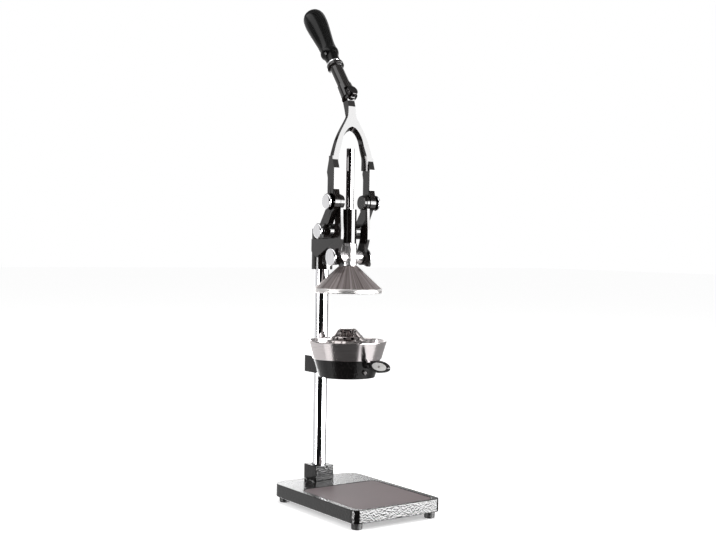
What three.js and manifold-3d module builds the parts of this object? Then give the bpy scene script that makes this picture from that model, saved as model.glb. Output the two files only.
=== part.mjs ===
// Lever citrus juice press: a cast base with a mat, a chrome column, a height adjustable cup holder
// with cup and reamer, and a head with a plunger that a forked lever drives through two links.
// Millimetres, Z up, front is -Y, the press is symmetric about X = 0. While it is built, the plunger
// runs on the Z axis and the floor is Z = 0. The last lines centre the whole press over the origin.
import * as THREE from 'three';
import { mergeVertices } from 'three/addons/utils/BufferGeometryUtils.js';
import Module from 'manifold-3d';

const wasm = await Module();
wasm.setup();

// Driving dimensions of the frame
const gap = 0.3;
const overrun = 2;
const reach = 73.5;
const footHeight = 10;
const baseWidth = 157;
const baseLength = 229;
const baseHeight = 19.5;
const blockSide = 34.5;
const blockHeight = 23;
const columnRadius = 11;
const columnWall = 2;
const columnTop = 419;

// Driving dimensions of the head and its linkage
const armTop = 409;
const armHalfWidth = 17;
const guideTop = 454.5;
const guideBottom = 402.8;
const guideRadius = 11.4;
const rodRadius = 6.45;
const rodTop = 547.3;
const pivotY = 20;
const pivotZ = 421.3;
const leverPinY = -5;
const leverPinZ = 465.2;
const crossZ = 381.8;
const pinRadius = 4.5;
const pivotRadius = 5;
const linkInner = 22.3;
const linkThickness = 4.4;
const legInner = 28;
const legThickness = 9.5;

// Driving dimensions of the tools: cone, cup, reamer and holder
const coneRadius = 51.8;
const coneTop = 368.5;
const coneRim = 327.5;
const cupRadius = 60.5;
const cupRim = 254.7;
const ringTop = 227;
const ringHeight = 27.5;
const ringRadius = 51.2;

// Driving dimensions of the handle
const handleTilt = 37.5;
const handleY = 10.9;
const handleZ = 634.2;
const gripRadius = 18.4;
const gripEnd = 171;

// Places that follow from the driving dimensions
const columnY = reach;
const baseBack = columnY + blockSide / 2;
const baseFront = baseBack - baseLength;
const baseTop = footHeight + baseHeight;
const blockBottom = baseTop + gap;
const blockTop = blockBottom + blockHeight;
const linkOuter = linkInner + linkThickness;
const legOuter = legInner + legThickness;
const sides = [['left', -1], ['right', 1]];

// Sides of the round shapes: wide ones, shafts and knobs, small screws, and the bends of flat outlines
const fine = 32;
const medium = 18;
const coarse = 10;
const bends = 4;

// Colours of the real materials
const finishes = {
  enamel: { color: 0x2b2a2b, roughness: 0.3, metalness: 0.3 },
  chrome: { color: 0xd8d8da, roughness: 0.08, metalness: 1 },
  steel: { color: 0xb4b0ae, roughness: 0.22, metalness: 1 },
  spun: { color: 0x8d8786, roughness: 0.38, metalness: 1 },
  plastic: { color: 0x121213, roughness: 0.28, metalness: 0 },
  rubber: { color: 0x1b1b1c, roughness: 0.8, metalness: 0 },
  mat: { color: 0x453f40, roughness: 0.45, metalness: 0 },
  bronze: { color: 0x9a7440, roughness: 0.35, metalness: 1 },
  plate: { color: 0xc4c2c0, roughness: 0.3, metalness: 1 },
};

// Turns a closed geometry into a solid for joining and cutting
function solid(geometry) {
  const bare = geometry.clone();
  for (const name of Object.keys(bare.attributes)) {
    if (name !== 'position') bare.deleteAttribute(name);
  }
  const weld = mergeVertices(bare);
  const vertProperties = new Float32Array(weld.attributes.position.array);
  const triVerts = new Uint32Array(weld.index.array);
  return new wasm.Manifold(new wasm.Mesh({ numProp: 3, vertProperties, triVerts }));
}

// Turns a solid back into a geometry
function surface(body) {
  const mesh = body.getMesh();
  const geometry = new THREE.BufferGeometry();
  geometry.setAttribute('position', new THREE.BufferAttribute(mesh.vertProperties, 3));
  geometry.setIndex(new THREE.BufferAttribute(mesh.triVerts, 1));
  geometry.computeVertexNormals();
  return geometry;
}

const fuse = (...shapes) => surface(shapes.map(solid).reduce((whole, next) => whole.add(next)));
const cut = (shape, ...tools) => {
  const cutters = tools.map(solid).reduce((whole, next) => whole.add(next));
  return surface(solid(shape).subtract(cutters));
};
const common = (first, second) => surface(solid(first).intersect(solid(second)));

// A turned shape about Z from [radius, height] points, rising on the outside
function turnedZ(points, segments, x = 0, y = 0) {
  const profile = points.map(([radius, height]) => new THREE.Vector2(radius, height));
  return new THREE.LatheGeometry(profile, segments).rotateX(Math.PI / 2).translate(x, y, 0);
}

// The same about X, placed at y and z: side is -1 on the left, where the shape is turned round
function turnedX(points, segments, y, z, side = 1) {
  const profile = points.map(([radius, along]) => new THREE.Vector2(radius, along));
  const shape = new THREE.LatheGeometry(profile, segments).rotateZ(-Math.PI / 2);
  if (side < 0) shape.rotateZ(Math.PI);
  return shape.translate(0, y, z);
}

// Solid and hollow round bars from [radius] and two ends
const barPoints = (radius, from, to) => [[0, from], [radius, from], [radius, to], [0, to]];
const tubePoints = (inner, outer, from, to) => [
  [inner, from], [outer, from], [outer, to], [inner, to], [inner, from],
];
const barZ = (radius, from, to, x = 0, y = 0, segments = medium) => (
  turnedZ(barPoints(radius, from, to), segments, x, y)
);
const barX = (radius, from, to, y, z, segments = medium) => (
  turnedX(barPoints(radius, from, to), segments, y, z)
);

// A bar along Y, from the front end to the back end
const barY = (radius, from, to, x, z, segments = medium) => (
  barZ(radius, from, to, 0, 0, segments).rotateX(-Math.PI / 2).translate(x, 0, z)
);

// A bar with flats on it, for bolt heads and nuts, that stands on Z
const hexZ = (radius, from, to, x, y) => barZ(radius, from, to, x, y, 6);

// A box between two corners
function block(x0, y0, z0, x1, y1, z1) {
  const box = new THREE.BoxGeometry(x1 - x0, y1 - y0, z1 - z0);
  return box.translate((x0 + x1) / 2, (y0 + y1) / 2, (z0 + z1) / 2);
}

// A rounded rectangle that stands from z0 to z1, with its own corner radius at the front and the back
function slab(x0, y0, x1, y1, frontRadius, backRadius, z0, z1) {
  const outline = new THREE.Shape();
  outline.absarc(x1 - frontRadius, y0 + frontRadius, frontRadius, -Math.PI / 2, 0);
  outline.absarc(x1 - backRadius, y1 - backRadius, backRadius, 0, Math.PI / 2);
  outline.absarc(x0 + backRadius, y1 - backRadius, backRadius, Math.PI / 2, Math.PI);
  outline.absarc(x0 + frontRadius, y0 + frontRadius, frontRadius, Math.PI, Math.PI * 1.5);
  const options = { depth: z1 - z0, bevelEnabled: false, curveSegments: bends };
  return new THREE.ExtrudeGeometry(outline, options).translate(0, 0, z0);
}

// A flat plate with an outline in Y and Z, that reaches from x0 to x1
function plateX(outline, x0, x1, curveSegments = bends) {
  const options = { depth: x1 - x0, bevelEnabled: false, curveSegments };
  const turn = new THREE.Matrix4().makeBasis(
    new THREE.Vector3(0, 1, 0),
    new THREE.Vector3(0, 0, 1),
    new THREE.Vector3(1, 0, 0),
  );
  return new THREE.ExtrudeGeometry(outline, options).applyMatrix4(turn).translate(x0, 0, 0);
}

// A flat plate with an outline in X and Z, that reaches from y0 to y1
function plateY(outline, y0, y1) {
  const options = { depth: y1 - y0, bevelEnabled: false, curveSegments: bends };
  const turn = new THREE.Matrix4().makeRotationX(Math.PI / 2);
  return new THREE.ExtrudeGeometry(outline, options).applyMatrix4(turn).translate(0, y1, 0);
}

const press = new THREE.Group();

// Adds one named piece to a group
function add(name, geometry, finish, group = press) {
  const mesh = new THREE.Mesh(geometry, new THREE.MeshStandardMaterial(finishes[finish]));
  mesh.name = name;
  group.add(mesh);
  return mesh;
}

// Base casting: a rounded plate with a skirt, ribs below, four foot bosses and a recess for the mat
const skirt = 5;
const topPlate = 7;
const ribWidth = 5;
const frontCorner = 12;
const backCorner = 24;
const bossRadius = 10;
const footInset = 13;
const screwRadius = 2;
const screwClearance = 2.3;
const matInset = 10.5;
const matFrontInset = 5;
const matBackY = 18;
const matCorner = 13;
const matThickness = 1.8;
const matDepth = matThickness + 2 * gap;
const bossPlaces = [
  ['front_left', -1, baseFront + footInset, footInset],
  ['front_right', 1, baseFront + footInset, footInset],
  ['back_left', -1, baseBack - footInset - skirt, footInset + skirt / 2],
  ['back_right', 1, baseBack - footInset - skirt, footInset + skirt / 2],
].map(([name, side, y, inset]) => ({ name, x: side * (baseWidth / 2 - inset), y }));
const boltRadius = 2.4;
const boltHeadRadius = 3.8;
const boltHeadThickness = 3;
const boltClearance = boltRadius + gap;
const boltSpread = blockSide * 0.355;
const boltPlaces = [
  ['front_left', -1, -1], ['front_right', 1, -1], ['back_left', -1, 1], ['back_right', 1, 1],
].map(([name, right, back]) => ({ name, x: right * boltSpread, y: columnY + back * boltSpread }));

function baseCasting() {
  const half = baseWidth / 2;
  const plate = slab(-half, baseFront, half, baseBack, frontCorner, backCorner, footHeight, baseTop);
  const cellTop = baseTop - topPlate;
  const cellLength = (baseLength - 2 * skirt - 2 * ribWidth) / 3;
  const cellWidth = (baseWidth - 2 * skirt - ribWidth) / 2;
  const cells = [];
  for (let row = 0; row < 3; row += 1) {
    for (const side of [-1, 1]) {
      const x = side * (ribWidth / 2 + cellWidth / 2);
      const y = baseFront + skirt + row * (cellLength + ribWidth);
      const backRound = row === 2 ? backCorner - skirt : frontCorner - skirt;
      cells.push(slab(
        x - cellWidth / 2, y, x + cellWidth / 2, y + cellLength,
        frontCorner - skirt, backRound, footHeight - overrun, cellTop,
      ));
    }
  }
  const shell = cut(plate, ...cells);
  const bossTop = baseTop - topPlate / 2;
  const bosses = bossPlaces.map(({ x, y }) => barZ(bossRadius, footHeight, bossTop, x, y));
  const recess = slab(
    -half + matInset, baseFront + matFrontInset, half - matInset, matBackY,
    matCorner, matCorner, baseTop - matDepth, baseTop + overrun,
  );
  const holeTop = baseTop - topPlate;
  const holesAt = (places, radius, top) => (
    places.map(({ x, y }) => barZ(radius, footHeight - overrun, top, x, y, coarse))
  );
  return cut(
    fuse(shell, ...bosses), recess,
    ...holesAt(bossPlaces, screwClearance, holeTop),
    ...holesAt(boltPlaces, boltClearance, baseTop + overrun),
    ...holesAt(boltPlaces, boltHeadRadius + gap, holeTop),
  );
}
add('base_casting', baseCasting(), 'enamel');

// Tray mat: lies in the recess, a clearance in from its edge
add('tray_mat', slab(
  -baseWidth / 2 + matInset + gap, baseFront + matFrontInset + gap,
  baseWidth / 2 - matInset - gap, matBackY - gap,
  matCorner - gap, matCorner - gap, baseTop - matDepth + gap, baseTop - gap,
), 'mat');

// Rubber feet, each held by a screw whose head lies in a pocket from below
const footRadius = 8.5;
const footTaper = 0.9;
const pocketRadius = 4.6;
const pocketDepth = 4;
const headRadius = 3.8;
const headThickness = 2.2;
const screwReach = 9;
for (const { name, x, y } of bossPlaces) {
  const topOfFoot = footHeight - gap;
  add(`foot_${name}`, turnedZ([
    [screwClearance, pocketDepth], [pocketRadius, pocketDepth], [pocketRadius, 0],
    [footRadius - footTaper * 1.5, 0], [footRadius - footTaper, footTaper], [footRadius, topOfFoot],
    [screwClearance, topOfFoot], [screwClearance, pocketDepth],
  ], medium, x, y), 'rubber');
  const headTop = pocketDepth - gap;
  add(`foot_screw_${name}`, turnedZ([
    [0, headTop - headThickness], [headRadius, headTop - headThickness], [headRadius, headTop],
    [screwRadius, headTop], [screwRadius, footHeight + screwReach], [0, footHeight + screwReach],
  ], coarse, x, y), 'steel');
}

// Foot block: clamps the column to the base, bolted from below
const blockChamfer = 2;
const setRadius = 3;
const blockSetZ = blockBottom + blockHeight / 2;
const columnBore = columnRadius + gap;
const boltDepth = blockHeight * 0.5;
function footBlock() {
  const half = blockSide / 2;
  const outline = new THREE.Shape();
  outline.moveTo(-half, blockBottom);
  outline.lineTo(half, blockBottom);
  outline.lineTo(half, blockTop - blockChamfer);
  outline.lineTo(half - blockChamfer, blockTop);
  outline.lineTo(-half + blockChamfer, blockTop);
  outline.lineTo(-half, blockTop - blockChamfer);
  const body = plateY(outline, columnY - half, columnY + half);
  const bore = barZ(columnBore, blockBottom - overrun, blockTop + overrun, 0, columnY, fine);
  const setHole = barY(setRadius + gap, columnY, columnY + half + overrun, 0, blockSetZ, coarse);
  const boltHoles = boltPlaces.map(({ x, y }) => (
    barZ(boltClearance, blockBottom - overrun, blockBottom + boltDepth, x, y, coarse)
  ));
  return cut(body, bore, setHole, ...boltHoles);
}
add('column_foot_block', footBlock(), 'enamel');

for (const { name, x, y } of boltPlaces) {
  const headTop = baseTop - topPlate - gap;
  add(`block_bolt_${name}`, turnedZ([
    [0, headTop - boltHeadThickness], [boltHeadRadius, headTop - boltHeadThickness],
    [boltHeadRadius, headTop], [boltRadius, headTop],
    [boltRadius, blockBottom + boltDepth - gap], [0, blockBottom + boltDepth - gap],
  ], coarse, x, y), 'steel');
}

// Column: a chrome tube from the base up into the head
const columnBottom = baseTop + gap;
add('column_tube', turnedZ(
  tubePoints(columnRadius - columnWall, columnRadius, columnBottom, columnTop), fine, 0, columnY,
), 'chrome');

// Socket screws that grip the column from behind
function setScrew(name, back, z, group = press) {
  const front = columnY + columnRadius + gap;
  add(name, barY(setRadius, front, back, 0, z, coarse), 'steel', group);
}
setScrew('block_set_screw', columnY + blockSide / 2, blockSetZ);

// Head casting: column socket, arm, saddle with the pivot barrel, web and guide tube in one piece
const socketRadius = 16.75;
const socketBottom = 361.5;
const socketTop = 425;
const armRoot = 376;
const armElbowY = 54;
const armElbowZ = 385;
const armNose = 403;
const guideBore = 8.3;
const barrelRadius = 11.5;
const webHalf = 6;
const saddleFront = 9;
const headSetRise = 10;
const headSetSpacing = 24;
const headSetZ = [socketBottom + headSetRise, socketBottom + headSetRise + headSetSpacing];
function headCasting() {
  const socket = barZ(socketRadius, socketBottom, socketTop, 0, columnY, fine);
  const armOutline = new THREE.Shape();
  armOutline.moveTo(columnY, armTop);
  armOutline.lineTo(saddleFront, armTop);
  armOutline.lineTo(saddleFront, armNose);
  armOutline.lineTo(pivotY, armNose);
  armOutline.lineTo(armElbowY, armElbowZ);
  armOutline.lineTo(columnY, armRoot);
  const arm = plateX(armOutline, -armHalfWidth, armHalfWidth);
  const saddle = block(
    -armHalfWidth, saddleFront, armNose, armHalfWidth, pivotY + barrelRadius, pivotZ,
  );
  const barrel = barX(barrelRadius, -legInner + gap, legInner - gap, pivotY, pivotZ, medium);
  const guide = barZ(guideRadius, guideBottom, guideTop, 0, 0, fine);
  const webOutline = new THREE.Shape();
  webOutline.moveTo(0, guideBottom);
  webOutline.lineTo(pivotY, armNose);
  webOutline.lineTo(pivotY, pivotZ + barrelRadius * 0.9);
  webOutline.lineTo(guideRadius * 0.7, guideTop - guideRadius);
  webOutline.lineTo(0, guideTop - guideRadius);
  const web = plateX(webOutline, -webHalf, webHalf);
  const body = fuse(socket, arm, saddle, barrel, guide, web);
  return cut(
    body,
    barZ(columnBore, socketBottom - overrun, socketTop + overrun, 0, columnY, fine),
    barZ(guideBore, guideBottom - overrun, guideTop + overrun, 0, 0, fine),
    barX(pivotRadius + gap, -legInner, legInner, pivotY, pivotZ, medium),
    ...headSetZ.map((z) => (
      barY(setRadius + gap, columnY, columnY + socketRadius + overrun, 0, z, coarse)
    )),
  );
}
add('head_casting', headCasting(), 'enamel');
headSetZ.forEach((z, index) => setScrew(`head_set_screw_${index + 1}`, columnY + socketRadius, z));

// Plug that closes the column's top inside the socket
const plugFlange = 4;
const plugSkirt = 12;
const plugRadius = columnRadius - columnWall - gap;
const plugRound = 0.45;
add('column_plug', turnedZ([
  [0, columnTop - plugSkirt], [plugRadius, columnTop - plugSkirt], [plugRadius, columnTop + gap],
  [columnRadius, columnTop + gap], [columnRadius, columnTop + plugFlange],
  [columnRadius - plugRound, columnTop + plugFlange + plugRound],
  [0, columnTop + plugFlange + plugRound],
], medium, 0, columnY), 'plastic');

// Guide bushes: carry the rod at both ends of the guide tube
const bushLength = 15;
for (const [name, from] of [['upper', guideTop - bushLength], ['lower', guideBottom]]) {
  add(`guide_bush_${name}`, turnedZ(
    tubePoints(rodRadius + gap, guideBore - gap, from, from + bushLength), medium,
  ), 'bronze');
}

// Plunger: rod, crosshead with its barrel for the cross shaft, and the stud that holds the cone
const neckRadius = 12.8;
const neckChamfer = 0.8;
const neckTop = guideBottom - gap;
const neckBottom = coneTop + gap;
const barrelHalf = linkInner - 2 * gap;
const crossBarrelRadius = 10;
const rodSeat = crossZ + crossBarrelRadius;
const studRadius = 4.5;
const studLength = 15;
const studEnd = coneTop - studLength;
const rodChamfer = 0.8;
add('plunger_rod', turnedZ([
  [0, rodSeat + gap], [rodRadius, rodSeat + gap], [rodRadius, rodTop - rodChamfer],
  [rodRadius - rodChamfer, rodTop], [0, rodTop],
], medium), 'steel');
function crosshead() {
  const neck = turnedZ([
    [0, studEnd], [studRadius, studEnd], [studRadius, neckBottom], [neckRadius, neckBottom],
    [neckRadius, neckTop - neckChamfer], [neckRadius - neckChamfer, neckTop], [0, neckTop],
  ], fine);
  const barrel = barX(crossBarrelRadius, -barrelHalf, barrelHalf, 0, crossZ, medium);
  return cut(
    fuse(neck, barrel),
    barZ(rodRadius + gap, rodSeat, neckTop + overrun, 0, 0, medium),
    barX(pinRadius + gap, -barrelHalf - overrun, barrelHalf + overrun, 0, crossZ, medium),
  );
}
add('crosshead', crosshead(), 'steel');

// Door knob heads on the shafts: a narrow neck that flares to a polished disc
const flareShares = [
  [0.48, 0], [0.48, 0.2], [0.56, 0.42], [0.82, 0.58], [1, 0.68], [1, 0.86], [0.93, 1], [0, 1],
];
function knobPoints(radius, length, start, bore, boreDepth) {
  const flare = flareShares.map(([wide, along]) => [radius * wide, start + length * along]);
  return [[0, start + boreDepth], [bore, start + boreDepth], [bore, start], ...flare];
}
const crossKnobRadius = 13.4;
const crossKnobLength = 7.2;
const crossKnobStart = linkOuter + gap;
const crossKnobBore = crossKnobLength * 0.5;
const crossShaftHalf = crossKnobStart + crossKnobBore - gap;
add('cross_shaft', barX(pinRadius, -crossShaftHalf, crossShaftHalf, 0, crossZ, medium), 'steel');
for (const [name, side] of sides) {
  add(`cross_knob_${name}`, turnedX(
    knobPoints(crossKnobRadius, crossKnobLength, crossKnobStart, pinRadius + gap, crossKnobBore),
    medium, 0, crossZ, side,
  ), 'chrome');
}

// Pivot shaft of the lever, through the head's barrel and both legs, with its two knobs
const pivotKnobRadius = 11.4;
const pivotKnobLength = 8;
const pivotKnobStart = legOuter + gap;
const pivotKnobBore = pivotKnobLength * 0.5;
const pivotShaftHalf = pivotKnobStart + pivotKnobBore - gap;
add('pivot_shaft', barX(pivotRadius, -pivotShaftHalf, pivotShaftHalf, pivotY, pivotZ, medium), 'steel');
for (const [name, side] of sides) {
  add(`pivot_knob_${name}`, turnedX(
    knobPoints(pivotKnobRadius, pivotKnobLength, pivotKnobStart, pivotRadius + gap, pivotKnobBore),
    medium, pivotY, pivotZ, side,
  ), 'chrome');
}

// Lever pins: the outer halves turn with the lever and the inner halves with the links
const leverKnobRadius = 11.9;
const leverKnobLength = 9.2;
const innerDiscRadius = 10.9;
const innerDiscThickness = 4;
const pinSplit = (linkOuter + legInner) / 2;
for (const [name, side] of sides) {
  const knobStart = legOuter + gap;
  const flare = flareShares.map(([wide, along]) => [
    leverKnobRadius * wide, knobStart + leverKnobLength * along,
  ]);
  add(`lever_pin_${name}`, turnedX([
    [0, pinSplit + gap / 2], [pinRadius, pinSplit + gap / 2], [pinRadius, knobStart], ...flare,
  ], medium, leverPinY, leverPinZ, side), 'chrome');
  const discOuter = linkInner - gap;
  const discInner = discOuter - innerDiscThickness;
  add(`link_pin_${name}`, turnedX([
    [0, discInner], [innerDiscRadius - gap, discInner], [innerDiscRadius, discInner + gap],
    [innerDiscRadius, discOuter], [pinRadius, discOuter], [pinRadius, pinSplit - gap / 2],
    [0, pinSplit - gap / 2],
  ], medium, leverPinY, leverPinZ, side), 'chrome');
}

// Links: forged bars from the lever pins down to the cross shaft, bowed forward
// Each share pair is [along the link from its lower pin, across it], both in shares of its length
const eyeRadius = 12;
const linkFrontShares = [[0.22, 0.13], [0.31, 0.2], [0.5, 0.19], [0.72, 0.158], [0.9, 0.145]];
const linkBackShares = [[0.9, -0.1], [0.74, -0.038], [0.52, -0.03], [0.3, -0.055], [0.16, -0.11]];
function link(side) {
  const lower = new THREE.Vector2(0, crossZ);
  const upper = new THREE.Vector2(leverPinY, leverPinZ);
  const along = upper.clone().sub(lower);
  const front = new THREE.Vector2(-along.y, along.x);
  const place = ([length, across]) => (
    lower.clone().addScaledVector(along, length).addScaledVector(front, across)
  );
  const waist = new THREE.Shape();
  const frontLine = linkFrontShares.map(place);
  const backLine = linkBackShares.map(place);
  waist.moveTo(lower.x, lower.y - eyeRadius * 0.2);
  waist.lineTo(frontLine[0].x, frontLine[0].y);
  waist.splineThru(frontLine.slice(1));
  waist.lineTo(upper.x, upper.y + eyeRadius * 0.2);
  waist.lineTo(backLine[0].x, backLine[0].y);
  waist.splineThru(backLine.slice(1));
  const inner = side * linkInner;
  const outer = side * linkOuter;
  const [from, to] = side < 0 ? [outer, inner] : [inner, outer];
  const body = fuse(
    plateX(waist, from, to),
    barX(eyeRadius, from, to, lower.x, lower.y, medium),
    barX(eyeRadius, from, to, upper.x, upper.y, medium),
  );
  const bore = pinRadius + gap;
  return cut(
    body,
    barX(bore, from - overrun, to + overrun, lower.x, lower.y, medium),
    barX(bore, from - overrun, to + overrun, upper.x, upper.y, medium),
  );
}
for (const [name, side] of sides) add(`link_${name}`, link(side), 'enamel');

// Fork of the lever: its front view and its side view are cut from one block, then it gets a sleeve
// The front view is half a fork, [half width, height] from the sleeve down the outside
const archTop = 581;
const shoulderZ = 529;
const ledgeZ = 516;
const neckTopZ = 630;
const forkOuterShares = [
  [0.17, 1], [0.17, 0.84], [0.2, 0.71], [0.32, 0.63], [0.43, 0.57], [0.59, 0.48], [0.73, 0.385],
  [0.82, 0.305], [0.9, 0.22], [0.95, 0.155], [1, 0.06],
];
const forkInnerShares = [
  [1, 0.16], [0.91, 0.25], [0.81, 0.325], [0.675, 0.425], [0.475, 0.492], [0.243, 0.537], [0, 0.56],
];
const forkDepthFront = 13;
const forkLegBack = 4.3;
const forkTopFront = 3.4;
const forkBulge = 6.5;
const pivotEyeRadius = 12;
const pinBossRadius = 12.8;
const pinBossRib = 6;
const neckFoldZ = 611;
const neckFoldDepth = 3;
const neckFoldRise = 9;
const sleeveRadius = 11.3;
const sleeveFootRadius = 12.6;
const sleeveHalf = 12;
const spigotRadius = 5;
const handleBoltRadius = 3.5;
const handleBoltHead = 9;
const handleBoltThickness = 7;
const boltDrop = 8;
const boltSeat = 7;
const boltBossRim = 0.7;
const tilt = THREE.MathUtils.degToRad(handleTilt);

// Lays a shape that was made about Z along the handle
const alongHandle = (shape) => shape.rotateX(-tilt).translate(0, handleY, handleZ);

function forkFront() {
  const span = neckTopZ - ledgeZ;
  const outer = forkOuterShares.map(([wide, high]) => [wide * legOuter, ledgeZ + high * span]);
  const inner = forkInnerShares.map(([wide, high]) => [wide * legInner, ledgeZ + high * span]);
  const bottom = pivotZ - pivotEyeRadius - overrun;
  const right = [
    ...outer, [legOuter, bottom], [legInner, bottom], ...inner,
  ];
  const left = right.slice(0, -1).reverse().map(([x, z]) => [-x, z]);
  const outline = new THREE.Shape([...right, ...left].map(([x, z]) => new THREE.Vector2(x, z)));
  return plateY(outline, -forkDepthFront * 2, pivotY + pivotEyeRadius * 2);
}
function forkSide() {
  const outline = new THREE.Shape();
  const archFront = -forkTopFront - (archTop - ledgeZ) * 0.017;
  outline.moveTo(pivotY - pivotEyeRadius * 1.6, pivotZ + pivotEyeRadius);
  outline.lineTo(-forkDepthFront, leverPinZ - eyeRadius * 0.6);
  outline.lineTo(-forkDepthFront, ledgeZ);
  outline.lineTo(-forkDepthFront * 0.65, shoulderZ);
  outline.lineTo(archFront, archTop);
  outline.lineTo(-forkTopFront, neckFoldZ);
  outline.lineTo(-forkTopFront + neckFoldDepth, neckFoldZ + neckFoldRise);
  outline.lineTo(-forkTopFront + neckFoldDepth, neckTopZ);
  outline.lineTo(handleY + sleeveRadius * 0.5, neckTopZ);
  outline.lineTo(forkLegBack + forkTopFront, archTop + (neckTopZ - archTop) * 0.5);
  outline.lineTo(forkLegBack * 0.4, archTop - (archTop - shoulderZ) * 0.4);
  outline.lineTo(forkLegBack * 0.4, shoulderZ);
  outline.lineTo(forkBulge, ledgeZ - forkBulge);
  outline.lineTo(forkLegBack, ledgeZ - forkBulge * 2);
  outline.lineTo(forkLegBack, leverPinZ + eyeRadius);
  outline.lineTo(leverPinY + eyeRadius * 1.1, leverPinZ - eyeRadius * 0.9);
  outline.lineTo(pivotY + pivotEyeRadius * 0.3, pivotZ + pivotEyeRadius * 0.9);
  outline.lineTo(pivotY, pivotZ);
  return plateX(outline, -legOuter - overrun, legOuter + overrun);
}
function forkCasting() {
  const flat = common(forkFront(), forkSide());
  const eyes = sides.map(([, side]) => {
    const [from, to] = side < 0 ? [-legOuter, -legInner] : [legInner, legOuter];
    const rib = new THREE.Shape();
    rib.moveTo(-forkDepthFront + overrun, leverPinZ);
    rib.lineTo(leverPinY - pinBossRadius, leverPinZ);
    rib.lineTo(leverPinY - pinBossRadius * 0.9, leverPinZ + pinBossRadius * 0.44);
    rib.lineTo(-forkDepthFront, leverPinZ + pinBossRadius + pinBossRib);
    rib.lineTo(-forkDepthFront + overrun, leverPinZ + pinBossRadius + pinBossRib);
    return fuse(
      barX(pivotEyeRadius, from, to, pivotY, pivotZ, medium),
      barX(pinBossRadius, from, to, leverPinY, leverPinZ, medium),
      plateX(rib, from, to),
    );
  });
  const sleeve = alongHandle(turnedZ([
    [0, -sleeveHalf], [sleeveFootRadius, -sleeveHalf], [sleeveRadius, sleeveHalf], [0, sleeveHalf],
  ], medium));
  const boltBossRadius = handleBoltHead + boltBossRim;
  const boltBoss = alongHandle(barY(boltBossRadius, -boltSeat, 0, 0, -boltDrop, medium));
  const boltFlat = alongHandle(block(
    -sleeveFootRadius - overrun, -sleeveFootRadius - overrun, -boltDrop - boltBossRadius - overrun,
    sleeveFootRadius + overrun, -boltSeat, -boltDrop + handleBoltHead + gap,
  ));
  const reachX = legOuter + overrun;
  return cut(
    fuse(flat, ...eyes, sleeve, boltBoss),
    alongHandle(barZ(spigotRadius + gap, -sleeveHalf - gap, sleeveHalf + overrun, 0, 0, medium)),
    boltFlat,
    alongHandle(barY(handleBoltRadius + gap, -boltSeat - overrun, 0, 0, -boltDrop, coarse)),
    barX(pinRadius + gap, -reachX, reachX, leverPinY, leverPinZ, medium),
    barX(pivotRadius + gap, -reachX, reachX, pivotY, pivotZ, medium),
  );
}
add('fork_casting', forkCasting(), 'enamel');

// Handle arm: spigot in the sleeve, shaft, flange, and a tang that reaches into the grip
const shaftRadius = 9.9;
const shaftEnd = 51;
const flangeRadius = 13.4;
const flangeThickness = 6;
const tangRadius = 5;
const tangEnd = 140;
const ferruleThickness = 3;
const ferruleRadius = 12.2;
const shaftStart = sleeveHalf + gap;
const flangeEnd = shaftEnd + flangeThickness;
add('handle_arm', alongHandle(turnedZ([
  [0, -sleeveHalf], [spigotRadius, -sleeveHalf], [spigotRadius, shaftStart],
  [shaftRadius, shaftStart], [shaftRadius, shaftEnd - gap * 2], [flangeRadius, shaftEnd],
  [flangeRadius, flangeEnd], [tangRadius, flangeEnd], [tangRadius, tangEnd], [0, tangEnd],
], medium)), 'enamel');
const boltTip = -spigotRadius - gap;
const handleBoltTop = -boltSeat - gap;
const handleBoltFront = handleBoltTop - handleBoltThickness;
add('handle_bolt', alongHandle(turnedZ([
  [0, handleBoltFront], [handleBoltHead * 0.85, handleBoltFront],
  [handleBoltHead, handleBoltFront + handleBoltThickness * 0.2], [handleBoltHead, handleBoltTop],
  [handleBoltRadius, handleBoltTop], [handleBoltRadius, boltTip], [0, boltTip],
], medium).rotateX(-Math.PI / 2).translate(0, 0, -boltDrop)), 'chrome');
add('grip_ferrule', alongHandle(turnedZ(
  tubePoints(tangRadius + gap, ferruleRadius, flangeEnd + gap, flangeEnd + gap + ferruleThickness), medium,
)), 'chrome');

// Grip: a moulded bulb with a collar at its lower end
const gripStart = flangeEnd + 2 * gap + ferruleThickness;
const gripShares = [
  [0.61, 0], [0.63, 0.1], [0.69, 0.15], [0.74, 0.178], [0.74, 0.203], [0.71, 0.23], [0.76, 0.39],
  [0.84, 0.5], [0.94, 0.64], [0.99, 0.73], [1, 0.809], [0.96, 0.895], [0.8, 0.957], [0.52, 0.9905],
  [0, 1],
];
const gripLength = gripEnd - gripStart;
add('grip', alongHandle(turnedZ([
  [0, tangEnd + gap], [tangRadius + gap, tangEnd + gap], [tangRadius + gap, gripStart],
  ...gripShares.map(([wide, along]) => [wide * gripRadius, gripStart + along * gripLength]),
], medium)), 'plastic');

// Pressing cone: a spun bell on the crosshead's stud, with a nut inside
const coneWall = 3.2;
const coneFlat = 14;
const coneShoulder = 21.5;
const coneShoulderDrop = 7;
const coneOffsetShares = [0.68, 0.74];
const rimBand = 7;
const rimLip = 1;
const coneBore = studRadius + gap;
const nutRadius = 9;
const nutThickness = 6;
const [wallAcross, wallUp] = coneOffsetShares.map((share) => share * coneWall);
add('pressing_cone', turnedZ([
  [coneBore, coneTop - coneWall], [coneFlat, coneTop - coneWall],
  [coneShoulder - wallAcross, coneTop - coneShoulderDrop - wallUp],
  [coneRadius - rimLip - coneWall, coneRim + rimBand], [coneRadius - coneWall, coneRim],
  [coneRadius - rimLip, coneRim], [coneRadius, coneRim + rimLip * 1.6],
  [coneRadius - rimLip, coneRim + rimBand],
  [coneShoulder, coneTop - coneShoulderDrop], [coneFlat, coneTop], [coneBore, coneTop],
  [coneBore, coneTop - coneWall],
], fine), 'spun');
const nutTop = coneTop - coneWall - gap;
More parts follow.
